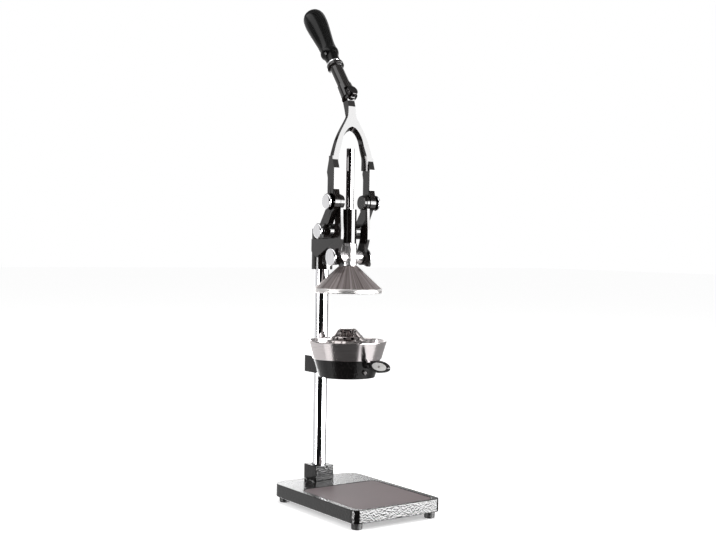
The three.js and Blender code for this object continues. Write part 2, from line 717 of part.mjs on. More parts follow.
add('cone_nut', cut(
  hexZ(nutRadius, nutTop - nutThickness, nutTop, 0, 0),
  barZ(coneBore, nutTop - nutThickness - overrun, nutTop + overrun, 0, 0, medium),
), 'steel');

// The holder, with the cup and the reamer in it, slides on the column
const ringWall = 4.2;
const ringTaper = 8.2;
const ringBottom = ringTop - ringHeight;
const clampHalf = 18;
const clampDrop = 1.7;
const clampBackWall = 9;
const clampTop = ringTop - clampDrop;
const clampBehind = columnRadius + clampBackWall;
const clampNeckHalf = 14;
const tabLength = 52;
const tabHalfWidth = 3.2;
const tabHalfHeight = 8.6;
const tabZ = 222;
const tabRoot = 14;
const tabRootRadius = 5.6;
const tabRootLap = 9;
const clampBoltZ = (clampTop + ringBottom) / 2;
const tabEndY = -ringRadius + ringTaper - tabRoot - tabLength;
function cupHolder() {
  const bottomRadius = ringRadius - ringTaper;
  const ring = turnedZ([
    [0, ringBottom], [bottomRadius, ringBottom], [ringRadius, ringTop], [0, ringTop],
  ], fine);
  const clamp = block(
    -clampHalf, columnY - clampHalf, ringBottom, clampHalf, columnY + clampBehind, clampTop,
  );
  const neck = block(-clampNeckHalf, 0, ringBottom, clampNeckHalf, columnY, clampTop);
  const tabOutline = new THREE.Shape();
  tabOutline.absellipse(tabEndY + tabLength / 2, tabZ, tabLength / 2, tabHalfHeight, 0, Math.PI * 2);
  const tab = plateX(tabOutline, -tabHalfWidth, tabHalfWidth, medium);
  const root = barY(tabRootRadius, tabEndY + tabLength - tabRootLap, 0, 0, tabZ);
  const body = fuse(ring, clamp, neck, tab, root);
  const cavity = turnedZ([
    [0, ringBottom - overrun], [bottomRadius - ringWall, ringBottom - overrun],
    [bottomRadius - ringWall, ringBottom], [ringRadius - ringWall, ringTop],
    [ringRadius - ringWall, ringTop + overrun], [0, ringTop + overrun],
  ], fine);
  const above = barZ(cupRadius, ringTop, ringTop + tabHalfHeight * 2);
  return cut(
    body, cavity, above,
    barZ(columnBore, ringBottom - overrun, ringTop + overrun, 0, columnY, fine),
    barY(setRadius + gap, columnY, columnY + clampBehind + overrun, 0, clampBoltZ, coarse),
    barY(tabScrewRadius + gap, -ringRadius, 0, 0, tabScrewZ, coarse),
    plateSeat(),
    barX(rivetRadius + gap, -tabHalfWidth, 0, plateY0, tabZ + plateRise, coarse),
  );
}

// Blank oval plate with its rivet on the left of the tab, and the screw under the tab's root
const plateLength = 40;
const plateHeight = 12;
const plateThickness = 1.2;
const plateRise = 0.6;
const plateDepth = 0.4;
const plateInset = 2;
const plateY0 = tabEndY + plateInset + plateLength / 2;
const rivetRadius = 1.2;
const tabScrewRadius = 2;
const tabScrewHead = 3.6;
const tabScrewThickness = 2.2;
const tabScrewZ = ringTop - ringHeight * 0.64;
function oval(length, height, from, to) {
  const outline = new THREE.Shape();
  outline.absellipse(plateY0, tabZ + plateRise, length / 2, height / 2, 0, Math.PI * 2);
  return plateX(outline, from, to, medium);
}
const plateOuter = -tabHalfWidth + plateDepth;
const plateInner = plateOuter + plateThickness;
function plateSeat() {
  return oval(
    plateLength + 2 * gap, plateHeight + 2 * gap, -tabHalfWidth - overrun, plateInner + gap,
  );
}
const holder = new THREE.Group();
press.add(holder);
add('cup_holder', cupHolder(), 'enamel', holder);
add('tab_plate', cut(
  oval(plateLength, plateHeight, plateOuter, plateInner),
  barX(rivetRadius + gap, plateOuter - overrun, plateInner + overrun, plateY0, tabZ + plateRise, coarse),
), 'plate', holder);
const rivetHead = 2;
const rivetTip = tabHalfWidth * 0.3;
const rivetSeat = -plateOuter + gap;
add('plate_rivet', turnedX([
  [0, rivetTip], [rivetRadius, rivetTip], [rivetRadius, rivetSeat], [rivetHead, rivetSeat],
  [rivetHead * 0.6, rivetSeat + rivetRadius], [0, rivetSeat + rivetRadius],
], coarse, plateY0, tabZ + plateRise, -1), 'steel', holder);

// Screw in the ring's front below the tab, and the bolt that clamps the holder from behind
const ringShare = (z) => (z - ringBottom) / ringHeight;
const ringOuterAt = (z) => ringRadius - ringTaper * (1 - ringShare(z));
const tabScrewSeat = -ringOuterAt(tabScrewZ + tabScrewHead) - gap;
const tabScrewEnd = -ringOuterAt(tabScrewZ) + ringWall * 0.8;
add('tab_screw', turnedZ([
  [0, tabScrewSeat - tabScrewThickness], [tabScrewHead * 0.75, tabScrewSeat - tabScrewThickness],
  [tabScrewHead, tabScrewSeat - tabScrewThickness * 0.4], [tabScrewHead, tabScrewSeat],
  [tabScrewRadius, tabScrewSeat], [tabScrewRadius, tabScrewEnd], [0, tabScrewEnd],
], coarse).rotateX(-Math.PI / 2).translate(0, 0, tabScrewZ), 'steel', holder);
const clampHead = 5.5;
const clampHeadThickness = 4;
const clampSeat = columnY + clampBehind + gap;
const clampTip = columnY + columnRadius + gap;
add('clamp_bolt', fuse(
  barY(setRadius, clampTip, clampSeat + clampHeadThickness / 2, 0, clampBoltZ, coarse),
  hexZ(clampHead, clampSeat, clampSeat + clampHeadThickness, 0, 0)
    .rotateX(-Math.PI / 2).translate(0, 0, clampBoltZ),
), 'steel', holder);

// Cup: a spun bowl whose shoulder rests on the ring, with an outlet in the middle of its floor
const cupWall = 1.6;
const waistStep = 1.6;
const cupWaist = ringRadius + waistStep;
const cupFloor = 205;
const outletRadius = 13;
const outletDrop = 4;
const seatGap = gap * 1.3;
const cupFoot = ringOuterAt(cupFloor) - ringWall - seatGap;
const cupNeck = ringRadius - ringWall - seatGap;
const shoulderBottom = ringTop + gap;
const shoulderTop = shoulderBottom + cupWall;
add('cup', turnedZ([
  [outletRadius - cupWall, cupFloor - outletDrop], [outletRadius, cupFloor - outletDrop],
  [outletRadius, cupFloor], [cupFoot, cupFloor + cupWall], [cupNeck, shoulderBottom],
  [cupWaist, shoulderBottom], [cupRadius, cupRim - cupWall / 2], [cupRadius - cupWall / 3, cupRim],
  [cupRadius - cupWall, cupRim - cupWall / 2], [cupWaist - cupWall, shoulderTop],
  [cupNeck - cupWall, shoulderTop], [cupFoot - cupWall, cupFloor + 2 * cupWall],
  [outletRadius - cupWall, cupFloor + cupWall], [outletRadius - cupWall, cupFloor - outletDrop],
], fine), 'steel', holder);

// Reamer: a fluted strainer dome with drain slots, resting on the cup's shoulder
// The dome's shares are [radius, height] of its flange radius and its own height
const reamerTop = 272.8;
const reamerWall = 1.6;
const flutes = 12;
const fluteDepth = 0.07;
const reamerRadius = cupWaist - cupWall - 1.5 * gap;
const reamerBottom = shoulderTop + gap;
const reamerHeight = reamerTop - reamerBottom;
const domeShares = [[0.84, 0.04], [0.74, 0.3], [0.62, 0.56], [0.47, 0.77], [0.3, 0.94], [0.22, 1]];
const slots = 12;
const slotWidth = 3;
const slotStart = 0.66;
const slotEnd = 0.92;
function reamer() {
  const outer = domeShares.map(([wide, high]) => [
    wide * reamerRadius, reamerBottom + reamerWall + high * (reamerHeight - reamerWall),
  ]);
  const inner = domeShares.slice(0, -1).reverse().map(([wide, high]) => [
    (wide - 0.03) * reamerRadius, reamerBottom + high * (reamerHeight - 2 * reamerWall),
  ]);
  const shell = turnedZ([
    [0, reamerTop - 2 * reamerWall], ...inner, [inner.at(-1)[0], reamerBottom],
    [reamerRadius, reamerBottom], [reamerRadius, reamerBottom + reamerWall], ...outer, [0, reamerTop],
  ], flutes * 2);
  const place = shell.attributes.position;
  const flangeTop = reamerBottom + reamerWall * 1.5;
  for (let index = 0; index < place.count; index += 1) {
    const [x, y, z] = [place.getX(index), place.getY(index), place.getZ(index)];
    const share = Math.min(Math.max((z - flangeTop) / reamerHeight, 0) * 3, 1);
    const wave = 1 - fluteDepth * share * (0.5 - 0.5 * Math.cos(flutes * Math.atan2(y, x)));
    place.setXY(index, x * wave, y * wave);
  }
  const drains = Array.from({ length: slots }, (_, index) => {
    const slot = block(
      reamerRadius * slotStart, -slotWidth / 2, reamerBottom - overrun,
      reamerRadius * slotEnd, slotWidth / 2, reamerBottom + reamerHeight * 0.2,
    );
    return slot.rotateZ((index + 0.5) * Math.PI * 2 / slots);
  });
  return cut(shell, ...drains);
}
add('reamer', reamer(), 'steel', holder);

// The handle leans out behind the base, so the whole press is centred over the origin
const extent = new THREE.Box3().setFromObject(press);
press.position.y = -(extent.min.y + extent.max.y) / 2;

export default press;
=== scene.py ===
import math

import bmesh
import bpy
from mathutils import Matrix, Vector


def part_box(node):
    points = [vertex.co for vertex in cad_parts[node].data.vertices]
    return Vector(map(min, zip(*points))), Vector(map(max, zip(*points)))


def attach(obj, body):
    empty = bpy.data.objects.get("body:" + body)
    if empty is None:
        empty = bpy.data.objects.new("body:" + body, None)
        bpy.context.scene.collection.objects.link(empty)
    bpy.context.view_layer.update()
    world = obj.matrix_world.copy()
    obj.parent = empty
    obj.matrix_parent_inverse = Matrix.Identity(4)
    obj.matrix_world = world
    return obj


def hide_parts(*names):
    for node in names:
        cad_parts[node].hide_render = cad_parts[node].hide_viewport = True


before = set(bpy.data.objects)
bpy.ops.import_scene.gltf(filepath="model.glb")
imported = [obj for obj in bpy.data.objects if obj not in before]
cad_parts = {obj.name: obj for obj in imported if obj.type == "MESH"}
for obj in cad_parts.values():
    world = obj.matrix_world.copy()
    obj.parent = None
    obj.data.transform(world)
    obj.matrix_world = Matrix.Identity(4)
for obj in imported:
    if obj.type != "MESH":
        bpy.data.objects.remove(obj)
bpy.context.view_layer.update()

scene = bpy.context.scene

# Camera: on the front left of the press, a little over half way up it. It is turned by the
# directions of the picture's right, up and back, and its focal length is in pixels of the picture.
MM = 0.001
FOCAL_PIXELS = 1128.62
PICTURE_WIDTH = 716
camera_data = bpy.data.cameras.new("front_left_view")
camera_data.sensor_width = 36
camera_data.lens = 36 * FOCAL_PIXELS / PICTURE_WIDTH
camera = bpy.data.objects.new("front_left_view", camera_data)
scene.collection.objects.link(camera)
picture_right = Vector((0.817169, -0.576181, 0.015828))
picture_up = Vector((-0.000246, 0.027111, 0.999632))
picture_back = Vector((-0.576398, -0.816873, 0.022013))
picture_axes = Matrix((picture_right, picture_up, picture_back)).transposed().to_4x4()
camera.matrix_world = Matrix.Translation(Vector((-981.13, -1408.99, 400.33)) * MM) @ picture_axes
scene.camera = camera
scene.view_settings.view_transform = "Standard"


# Studio: white paper behind, a softbox on the front right and one on the left, and a dark room
# round the camera. Bright metal shows these, and the soft lamps light everything at a plain level.
def linear(hex_colour):
    """Turns an sRGB hex colour into the linear values that Blender reads."""
    parts = [int(hex_colour[i:i + 2], 16) / 255 for i in (1, 3, 5)]
    return (*[p / 12.92 if p <= 0.04045 else ((p + 0.055) / 1.055) ** 2.4 for p in parts], 1)


def node(tree, kind, settings=None, sockets=None):
    """Adds one shader node, sets its fields, and fills or links its sockets."""
    made = tree.nodes.new("ShaderNode" + kind)
    for field, value in (settings or {}).items():
        setattr(made, field, value)
    for socket, value in (sockets or {}).items():
        if isinstance(value, bpy.types.NodeSocket):
            tree.links.new(value, made.inputs[socket])
        else:
            made.inputs[socket].default_value = value
    return made


# Levels of light. The colour stops of the wall only go up to 1, so they hold shares of BRIGHTEST.
SOFTBOX = 26.0
LOW_SOFTBOX = 1.6
SMALL_BOX = 1.5
LEFT_STRIP = 20.0
GREY_WALL = 0.42
DIM_WALL = 0.3
BACK_WALL = 3.1
CEILING = 0.8
LEFT_PANEL = 3.0
BEAMS = 0.03
TABLE = 0.1
GROUND = 0.03
DARK_ROOM = 0.01
PAPER = 1.0
PLAIN_LIGHT = 0.55
BRIGHTEST = 4.0
room_steps = [
    (-180, PAPER), (-175, BACK_WALL), (-148, BACK_WALL), (-142, GREY_WALL), (-68, GREY_WALL),
    (-64, LOW_SOFTBOX), (-9, LOW_SOFTBOX), (-5, DARK_ROOM), (90, DARK_ROOM), (94, DIM_WALL),
    (114, DIM_WALL), (119, PAPER), (180, PAPER),
]
world = bpy.data.worlds.new("studio")
scene.world = world
world.use_nodes = True
room = world.node_tree
room.nodes.clear()


def reckoned(operation, a, b=0.0):
    """One sum or comparison of two values in the studio's light."""
    return node(room, "Math", {"operation": operation}, {0: a, 1: b}).outputs[0]


def ramped(value, low, high, at_low=0.0, at_high=1.0, curve="SMOOTHSTEP"):
    """Runs from one level to another while a value runs from low to high."""
    return node(room, "MapRange", {"interpolation_type": curve}, {
        "Value": value, "From Min": low, "From Max": high, "To Min": at_low, "To Max": at_high,
    }).outputs[0]


def blended(share, a, b):
    """Runs from one level to the other with a share between 0 and 1."""
    return node(room, "Mix", {"data_type": "FLOAT"}, {"Factor": share, "A": a, "B": b}).outputs[0]


where = node(room, "TexCoord").outputs["Generated"]
heading = node(room, "SeparateXYZ", None, {0: where})
rightward, backward, upward = (heading.outputs[axis] for axis in "XYZ")
# Turn is the compass direction: 0 is the front, and it grows to the left.
turn = reckoned(
    "ARCTAN2", reckoned("MULTIPLY", rightward, -1.0), reckoned("MULTIPLY", backward, -1.0),
)
wall = node(room, "ValToRGB", None, {"Fac": ramped(turn, -math.pi, math.pi, curve="LINEAR")})
ramp = wall.color_ramp
while len(ramp.elements) > 1:
    ramp.elements.remove(ramp.elements[-1])
for count, (degrees, level) in enumerate(room_steps):
    place = (degrees + 180) / 360
    stop = ramp.elements[0] if count == 0 else ramp.elements.new(place)
    stop.position = place
    stop.color = (level / BRIGHTEST, level / BRIGHTEST, level / BRIGHTEST, 1)
wall_level = reckoned("MULTIPLY", wall.outputs["Color"], BRIGHTEST)
# The front softbox stands 36.5 degrees to the right. It starts a little below the press's feet, and
# is weaker above the camera's height.
off_softbox = reckoned("ABSOLUTE", reckoned("ADD", turn, math.radians(36.5)))
softbox_level = reckoned(
    "MULTIPLY", ramped(off_softbox, math.radians(25), math.radians(30), 1.0, 0.0), reckoned(
        "MULTIPLY", ramped(upward, -0.31, -0.2, 0.0, SOFTBOX),
        ramped(upward, 0.075, 0.115, 1.0, 0.76),
    ),
)


# Two boxes stand on the left: a small one on the table, and a narrow bright strip beside it that
# ends at the camera's height.
def box_light(middle, half_width, low, high, strength):
    """A box of light round the compass direction middle, between two heights."""
    aside = reckoned("ABSOLUTE", reckoned("SUBTRACT", turn, math.radians(middle)))
    inside = ramped(
        aside, math.radians(half_width - 1), math.radians(half_width + 1), strength, 0.0,
    )
    between = reckoned(
        "MULTIPLY", reckoned("GREATER_THAN", upward, low), reckoned("LESS_THAN", upward, high),
    )
    return reckoned("MULTIPLY", inside, between)


left_boxes = reckoned(
    "MAXIMUM", box_light(101.5, 13.5, -1.0, -0.1, SMALL_BOX),
    box_light(85, 8.5, -0.35, 0.0, LEFT_STRIP),
)
# Up to 40 degrees from the far left the wall is nearly dark just above the camera's height, and
# dim further up.
off_left = reckoned("ABSOLUTE", reckoned("ADD", turn, math.radians(-101)))
left_share = reckoned(
    "MAXIMUM", ramped(off_left, math.radians(36), math.radians(40), curve="LINEAR"), reckoned(
        "MAXIMUM", ramped(upward, 0.0, 0.03, 1.0, 0.03, "LINEAR"),
        ramped(upward, 0.13, 0.16, 0.0, 0.6, "LINEAR"),
    ),
)
lit_wall = reckoned(
    "MAXIMUM", reckoned("MAXIMUM", reckoned("MULTIPLY", wall_level, left_share), left_boxes),
    reckoned("MAXIMUM", softbox_level, ramped(upward, -0.45, -0.25, TABLE, 0.0)),
)
# The ceiling is white panels between dark beams, with a brighter panel on the far left.
beams = node(room, "TexWave", {"bands_direction": "DIAGONAL"}, {
    "Vector": where, "Scale": 1.8, "Distortion": 5.0, "Detail": 2.0,
})
panels = ramped(beams.outputs["Fac"], 0.3, 0.7, BEAMS, CEILING, "LINEAR")
left_panel = reckoned(
    "MULTIPLY", ramped(rightward, -0.42, -0.5, 0.0, LEFT_PANEL), ramped(upward, 0.42, 0.54),
)
below_ceiling = blended(
    ramped(upward, 0.26, 0.42), lit_wall, reckoned("MAXIMUM", panels, left_panel),
)
seen_in_metal = blended(ramped(upward, -0.85, -0.7), GROUND, below_ceiling)
# Metal shows this room, the eye and clear things see white paper, and all else gets a plain level.
rays = node(room, "LightPath")
glossy_or_plain = blended(rays.outputs["Is Glossy Ray"], PLAIN_LIGHT, seen_in_metal)
clear_rays = reckoned("MAXIMUM", rays.outputs["Is Camera Ray"], rays.outputs["Is Transmission Ray"])
background = node(room, "Background", None, {
    "Color": (1, 1, 1, 1), "Strength": blended(clear_rays, glossy_or_plain, PAPER),
})
node(room, "OutputWorld", None, {"Surface": background.outputs[0]})

press_middle = Vector((0, 0, 0.35))
for name, place, size, watts in (
    ("front_right_softbox", (1.5, -1.6, 1.4), 1.2, 26),
    ("left_softbox", (-1.9, -0.1, 1.2), 1.2, 22),
    ("top_softbox", (0.1, -0.2, 2.4), 1.6, 22),
):
    lamp_data = bpy.data.lights.new(name, "AREA")
    lamp_data.shape = "SQUARE"
    lamp_data.size = size
    lamp_data.energy = watts
    lamp = bpy.data.objects.new(name, lamp_data)
    lamp.location = place
    lamp.rotation_euler = (press_middle - lamp.location).to_track_quat("-Z", "Y").to_euler()
    lamp.visible_glossy = False
    scene.collection.objects.link(lamp)


# Floor: a wide sheet of white paper. It keeps the press's shadow, and white paper fills the picture.
def deselected():
    """Leaves edit mode, with nothing selected."""
    if bpy.context.object and bpy.context.object.mode == "EDIT":
        bpy.ops.object.mode_set(mode="OBJECT")
    bpy.ops.object.select_all(action="DESELECT")


def named(name):
    """Names the object that was just added."""
    piece = bpy.context.object
    piece.name = name
    piece.data.name = name
    return piece


def new_surface(name, metallic=0.0, roughness=0.5, specular=0.5):
    """A material with a Principled shader, its tree and the object's own coordinates."""
    material = bpy.data.materials.new(name)
    material.use_nodes = True
    tree = material.node_tree
    tree.nodes.clear()
    shader = node(tree, "BsdfPrincipled", None, {
        "Metallic": metallic, "Roughness": roughness, "Specular IOR Level": specular,
    })
    node(tree, "OutputMaterial", None, {"Surface": shader.outputs[0]})
    place = node(tree, "TexCoord").outputs["Object"]
    return material, tree, shader, place


def clouds(place, size, detail=2.0):
    """A pattern of soft clouds that are about size millimetres wide."""
    return node(place.id_data, "TexNoise", None, {
        "Vector": place, "Scale": 1 / (size * MM), "Detail": detail,
    }).outputs["Fac"]


def toned(shader, pattern, dark, light):
    """Colours a surface between two tones after a pattern, and returns the colour."""
    tree = shader.id_data
    tone = node(tree, "Mix", {"data_type": "RGBA"}, {
        "Factor": pattern, 6: linear(dark), 7: linear(light),
    })
    tree.links.new(tone.outputs[2], shader.inputs["Base Color"])
    return tone.outputs[2]


PAPER_GLOW = 0.45
deselected()
bpy.ops.mesh.primitive_plane_add(size=30)
floor = named("paper_floor")
paper, tree, shader, place = new_surface("white paper", roughness=1.0, specular=0.0)
toned(shader, clouds(place, 25), "#f4f4f4", "#ffffff")
rays = node(tree, "LightPath")
lift = node(tree, "Math", {"operation": "MULTIPLY"}, {
    0: rays.outputs["Is Camera Ray"], 1: PAPER_GLOW,
})
shader.inputs["Emission Color"].default_value = (1, 1, 1, 1)
tree.links.new(lift.outputs[0], shader.inputs["Emission Strength"])
floor.data.materials.append(paper)
floor.visible_glossy = False


# Base casting: a heavy cast iron plate with a skirt, ribs and foot bosses below, enamelled in dark
# hammertone. It is cast in one piece, and the recess for the mat is milled into its top.
def only(piece):
    """Makes the piece the only one that is selected and active."""
    deselected()
    piece.select_set(True)
    bpy.context.view_layer.objects.active = piece


def choose(piece, kind, test):
    """Opens the piece in edit mode and selects its faces, edges or corners that pass the test."""
    only(piece)
    bpy.ops.object.mode_set(mode="EDIT")
    bpy.ops.mesh.select_mode(type={"faces": "FACE", "edges": "EDGE", "verts": "VERT"}[kind])
    bpy.ops.mesh.select_all(action="DESELECT")
    shape = bmesh.from_edit_mesh(piece.data)
    for part in getattr(shape, kind):
        if test(part):
            part.select_set(True)
    shape.select_flush_mode()
    bmesh.update_edit_mesh(piece.data)


def settled(piece):
    """Merges doubles, turns all faces outwards and puts the piece's place into its mesh."""
    only(piece)
    bpy.ops.object.transform_apply(location=True, rotation=True, scale=True)
    bpy.ops.object.mode_set(mode="EDIT")
    bpy.ops.mesh.select_mode(type="VERT")
    bpy.ops.mesh.select_all(action="SELECT")
    bpy.ops.mesh.remove_doubles(threshold=1e-6)
    bpy.ops.mesh.normals_make_consistent(inside=False)
    bpy.ops.object.mode_set(mode="OBJECT")
    return piece


def slab(name, low, high, front_radius, back_radius, steps=12):
    """A plate between two corners in millimetres, with rounded upright corners."""
    deselected()
    middle = [(a + b) / 2 * MM for a, b in zip(low, high)]
    bpy.ops.mesh.primitive_cube_add(size=1, location=middle)
    piece = named(name)
    piece.scale = [(b - a) * MM for a, b in zip(low, high)]
    bpy.ops.object.transform_apply(location=True, rotation=True, scale=True)
    for radius, at_front in ((front_radius, True), (back_radius, False)):
        def upright(edge):
            a, b = edge.verts
            return (
                abs(a.co.z - b.co.z) > 1e-6 and abs(a.co.x - b.co.x) < 1e-9
                and abs(a.co.y - b.co.y) < 1e-9
                and abs(a.co.y - (low[1] if at_front else high[1]) * MM) < 1e-7
            )
        if radius > 0:
            choose(piece, "edges", upright)
            bpy.ops.mesh.bevel(offset=radius * MM, segments=steps, affect="EDGES")
            bpy.ops.object.mode_set(mode="OBJECT")
    return settled(piece)


def joined(piece, other, how="UNION"):
    """Unites the piece with another shape, or cuts it by one."""
    only(piece)
    bpy.ops.object.modifier_add(type="BOOLEAN")
    modifier = piece.modifiers[-1]
    modifier.operation = how
    modifier.solver = "EXACT"
    modifier.object = other
    bpy.ops.object.modifier_apply(modifier=modifier.name)
    bpy.data.objects.remove(other)
    return piece


def softened(piece, width=0.5, steps=2, angle=35, smooth=32):
    """Rounds the sharp edges, and shades the rest smooth."""
    only(piece)
    if width:
        bpy.ops.object.modifier_add(type="BEVEL")
        modifier = piece.modifiers[-1]
        modifier.width = width * MM
        modifier.segments = steps
        modifier.limit_method = "ANGLE"
        modifier.angle_limit = math.radians(angle)
        modifier.miter_outer = "MITER_ARC"
        bpy.ops.object.modifier_apply(modifier=modifier.name)
    bpy.ops.object.shade_smooth_by_angle(angle=math.radians(smooth))
    bpy.ops.object.modifier_add(type="WEIGHTED_NORMAL")
    modifier = piece.modifiers[-1]
    modifier.keep_sharp = True
    modifier.weight = 100
    bpy.ops.object.modifier_apply(modifier=modifier.name)
    return piece


def fitted(piece, body, slot, finish, *stands_for):
    """Gives the piece its finish and its body, and hides the CAD nodes that it stands for."""
    piece.data.materials.clear()
    piece.data.materials.append(finish)
    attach(piece, body)
    if stands_for:
        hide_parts(*stands_for)
    return piece


def box_mm(cad_node):
    """The two corners of a CAD node's box in millimetres."""
    low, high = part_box(cad_node)
    return [v / MM for v in low], [v / MM for v in high]


def middle_mm(cad_node):
    """The middle of a CAD node's box in millimetres."""
    return [(a + b) / 2 for a, b in zip(*box_mm(cad_node))]


base_low, base_high = box_mm("base_casting")
base_top = base_high[2]
mat_low, mat_high = box_mm("tray_mat")
skirt = 5.0
plate = 7.0
base = slab("enamelled_base", base_low, base_high, 12, 24)
choose(base, "faces", lambda face: face.normal.z < -0.9)
bpy.ops.mesh.inset(thickness=skirt * MM)
bpy.ops.mesh.extrude_region_move(TRANSFORM_OT_translate={
    "value": (0, 0, (base_high[2] - base_low[2] - plate) * MM),
})
settled(base)
cell_top = base_top - plate + 0.5
rib = 2.5
rib_end = 77
third = (base_high[1] - base_low[1] - 2 * skirt) / 3
for name, low, high in (
    ("long_rib", (-rib, base_low[1] + 1, base_low[2]), (rib, base_high[1] - 1, cell_top)),
    ("front_rib", (-rib_end, base_low[1] + skirt + third - rib, base_low[2]),
     (rib_end, base_low[1] + skirt + third + rib, cell_top)),
    ("back_rib", (-rib_end, base_low[1] + skirt + 2 * third - rib, base_low[2]),
     (rib_end, base_low[1] + skirt + 2 * third + rib, cell_top)),
):
    joined(base, slab(name, low, high, 0, 0))
recess_gap = 0.9
joined(base, slab(
    "mat_recess", (mat_low[0] - recess_gap, mat_low[1] - recess_gap, mat_low[2] - 0.3),
    (mat_high[0] + recess_gap, mat_high[1] + recess_gap, base_top + 2), 13.6, 13.6,
), "DIFFERENCE")
softened(base, 1.1, 3, 40)


# Hammertone enamel: an aluminium flake lacquer that draws into small dimples as it dries, stoved
# on cast iron. It is dark grey with lighter flake on the ridges, under a clear glossy skin.
def bumped(shader, height, strength, depth):
    """Raises a surface after a pattern, by up to depth millimetres."""
    tree = shader.id_data
    bump = node(tree, "Bump", None, {"Height": height, "Strength": strength, "Distance": depth * MM})
    tree.links.new(bump.outputs[0], shader.inputs["Normal"])


def variant(finish, name, changes):
    """A copy of a finish under its own name, with other values in some sockets of its nodes."""
    copy = finish.copy()
    copy.name = name
    for (node_name, socket), value in changes.items():
        copy.node_tree.nodes[node_name].inputs[socket].default_value = value
    return copy


DIMPLE = 2.5
hammertone, tree, shader, place = new_surface("hammertone enamel", roughness=0.1, specular=0.42)
dimples = node(tree, "TexVoronoi", {"feature": "SMOOTH_F1"}, {
    "Vector": place, "Scale": 1 / (DIMPLE * MM), "Smoothness": 0.6,
}).outputs["Distance"]
unevenness = clouds(place, 9)
flake = clouds(place, 0.8).node.outputs["Color"]
ridge = node(tree, "MapRange", None, {"Value": dimples, "From Min": 0.15, "From Max": 0.75})
flaked = node(tree, "Mix", {"data_type": "RGBA", "blend_type": "MULTIPLY"}, {
    "Factor": 0.35, 6: toned(shader, ridge.outputs[0], "#050505", "#191717"), 7: flake,
})
tree.links.new(flaked.outputs[2], shader.inputs["Base Color"])
height = node(tree, "Math", {"operation": "MULTIPLY_ADD"}, {0: unevenness, 1: 0.3, 2: dimples})
bumped(shader, height.outputs[0], 0.7, 0.45)
fitted(base, "frame", "enamel", hammertone, "base_casting")
# The foot block and the cup holder have a duller coat of it.
dull_hammertone = variant(hammertone, "dull hammertone enamel", {
    ("Principled BSDF", "Specular IOR Level"): 0.25,
})


# Tray mat: a moulded rubber mat, laid loose in the recess. It is smooth and brown grey, with a
# soft sheen, and its upper edge is rounded.
def glossed(shader, pattern, low, high):
    """Lets a surface's roughness run between two values after a pattern."""
    tree = shader.id_data
    gloss = node(tree, "MapRange", None, {"Value": pattern, "To Min": low, "To Max": high})
    tree.links.new(gloss.outputs[0], shader.inputs["Roughness"])


mat = softened(slab("rubber_mat", mat_low, mat_high, 12.7, 12.7), 0.7, 3)
mat_rubber, tree, shader, place = new_surface("moulded mat rubber", specular=0.14)
cloud = clouds(place, 60, 3.0)
toned(shader, cloud, "#5b5253", "#746a6b")
glossed(shader, cloud, 0.38, 0.5)
bumped(shader, clouds(place, 1.2, 4.0), 0.12, 0.1)
fitted(mat, "frame", "mat", mat_rubber, "tray_mat")


# Feet: four black rubber buttons, each screwed to a boss of the base from below.
def turned(name, profile, sides=96, at=(0, 0)):
    """Extrudes a ring through [radius, height] steps in millimetres, as a lathe would cut it.
    A profile that starts and ends on the axis is closed by flat ends, any other one is a tube."""
    deselected()
    rings = [(radius * MM, height * MM) for radius, height in profile if radius > 0]
    solid = profile[0][0] == 0
    bpy.ops.mesh.primitive_circle_add(
        vertices=sides, radius=rings[0][0], fill_type="NGON" if solid else "NOTHING",
    )
    piece = named(name)
    x, y = at[0] * MM, at[1] * MM
    bpy.ops.object.mode_set(mode="EDIT")
    bpy.ops.mesh.select_all(action="SELECT")
    bpy.ops.transform.translate(value=(x, y, rings[0][1]))
    for (radius, height), (next_radius, next_height) in zip(rings, rings[1:]):
        bpy.ops.mesh.extrude_region_move(TRANSFORM_OT_translate={
            "value": (0, 0, next_height - height),
        })
        grow = next_radius / radius
        if abs(grow - 1) > 1e-9:
            bpy.ops.transform.resize(value=(grow, grow, 1), center_override=(x, y, next_height))
    bpy.ops.object.mode_set(mode="OBJECT")
    return settled(piece)


def moved(piece, name, by, mirror=False):
    """A copy of the piece with its own mesh, moved in millimetres, or its mirror image in X."""
    only(piece)
    bpy.ops.object.duplicate()
    twin = named(name)
    if mirror:
        twin.scale.x = -1
    twin.location = [v * MM for v in by]
    return settled(twin)


foot = softened(turned("rubber_foot", [
    (2.3, 4), (4.6, 4), (4.6, 0), (7.2, 0), (7.8, 0.6), (8.5, 9.2), (8.5, 9.7), (2.3, 9.7), (2.3, 4),
], 48), 0.4)
foot_rubber, tree, shader, place = new_surface("black foot rubber")
grain = clouds(place, 0.6, 3.0)
toned(shader, grain, "#0e0e0e", "#1d1c1c")
bumped(shader, grain, 0.2, 0.1)
for corner in ("front_left", "front_right", "back_left", "back_right"):
    x, y, _ = middle_mm(f"foot_{corner}")
    shoe = moved(foot, f"rubber_foot_{corner}", (x, y, 0))
    fitted(shoe, "frame", "rubber", foot_rubber, f"foot_{corner}")
bpy.data.objects.remove(foot)

# Screws and bolts: zinc plated steel, turned and pressed. They sit in pockets, and only the clamp
# bolt behind the column is seen. The screw below the tab is blackened instead, further down.
zinc, tree, shader, place = new_surface("zinc plated steel", metallic=1.0)
patina = clouds(place, 2, 3.0)
toned(shader, patina, "#8b8986", "#b9b6b2")
glossed(shader, patina, 0.22, 0.4)


def refinished(cad_node, finish):
    """Gives a CAD node, whose shape stays, its real finish."""
    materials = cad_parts[cad_node].data.materials
    if not len(materials):
        materials.append(finish)
    for slot_number in range(len(materials)):
        materials[slot_number] = finish


for cad_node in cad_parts:
    if "screw" in cad_node or "block_bolt" in cad_node or cad_node == "clamp_bolt":
        refinished(cad_node, zinc)


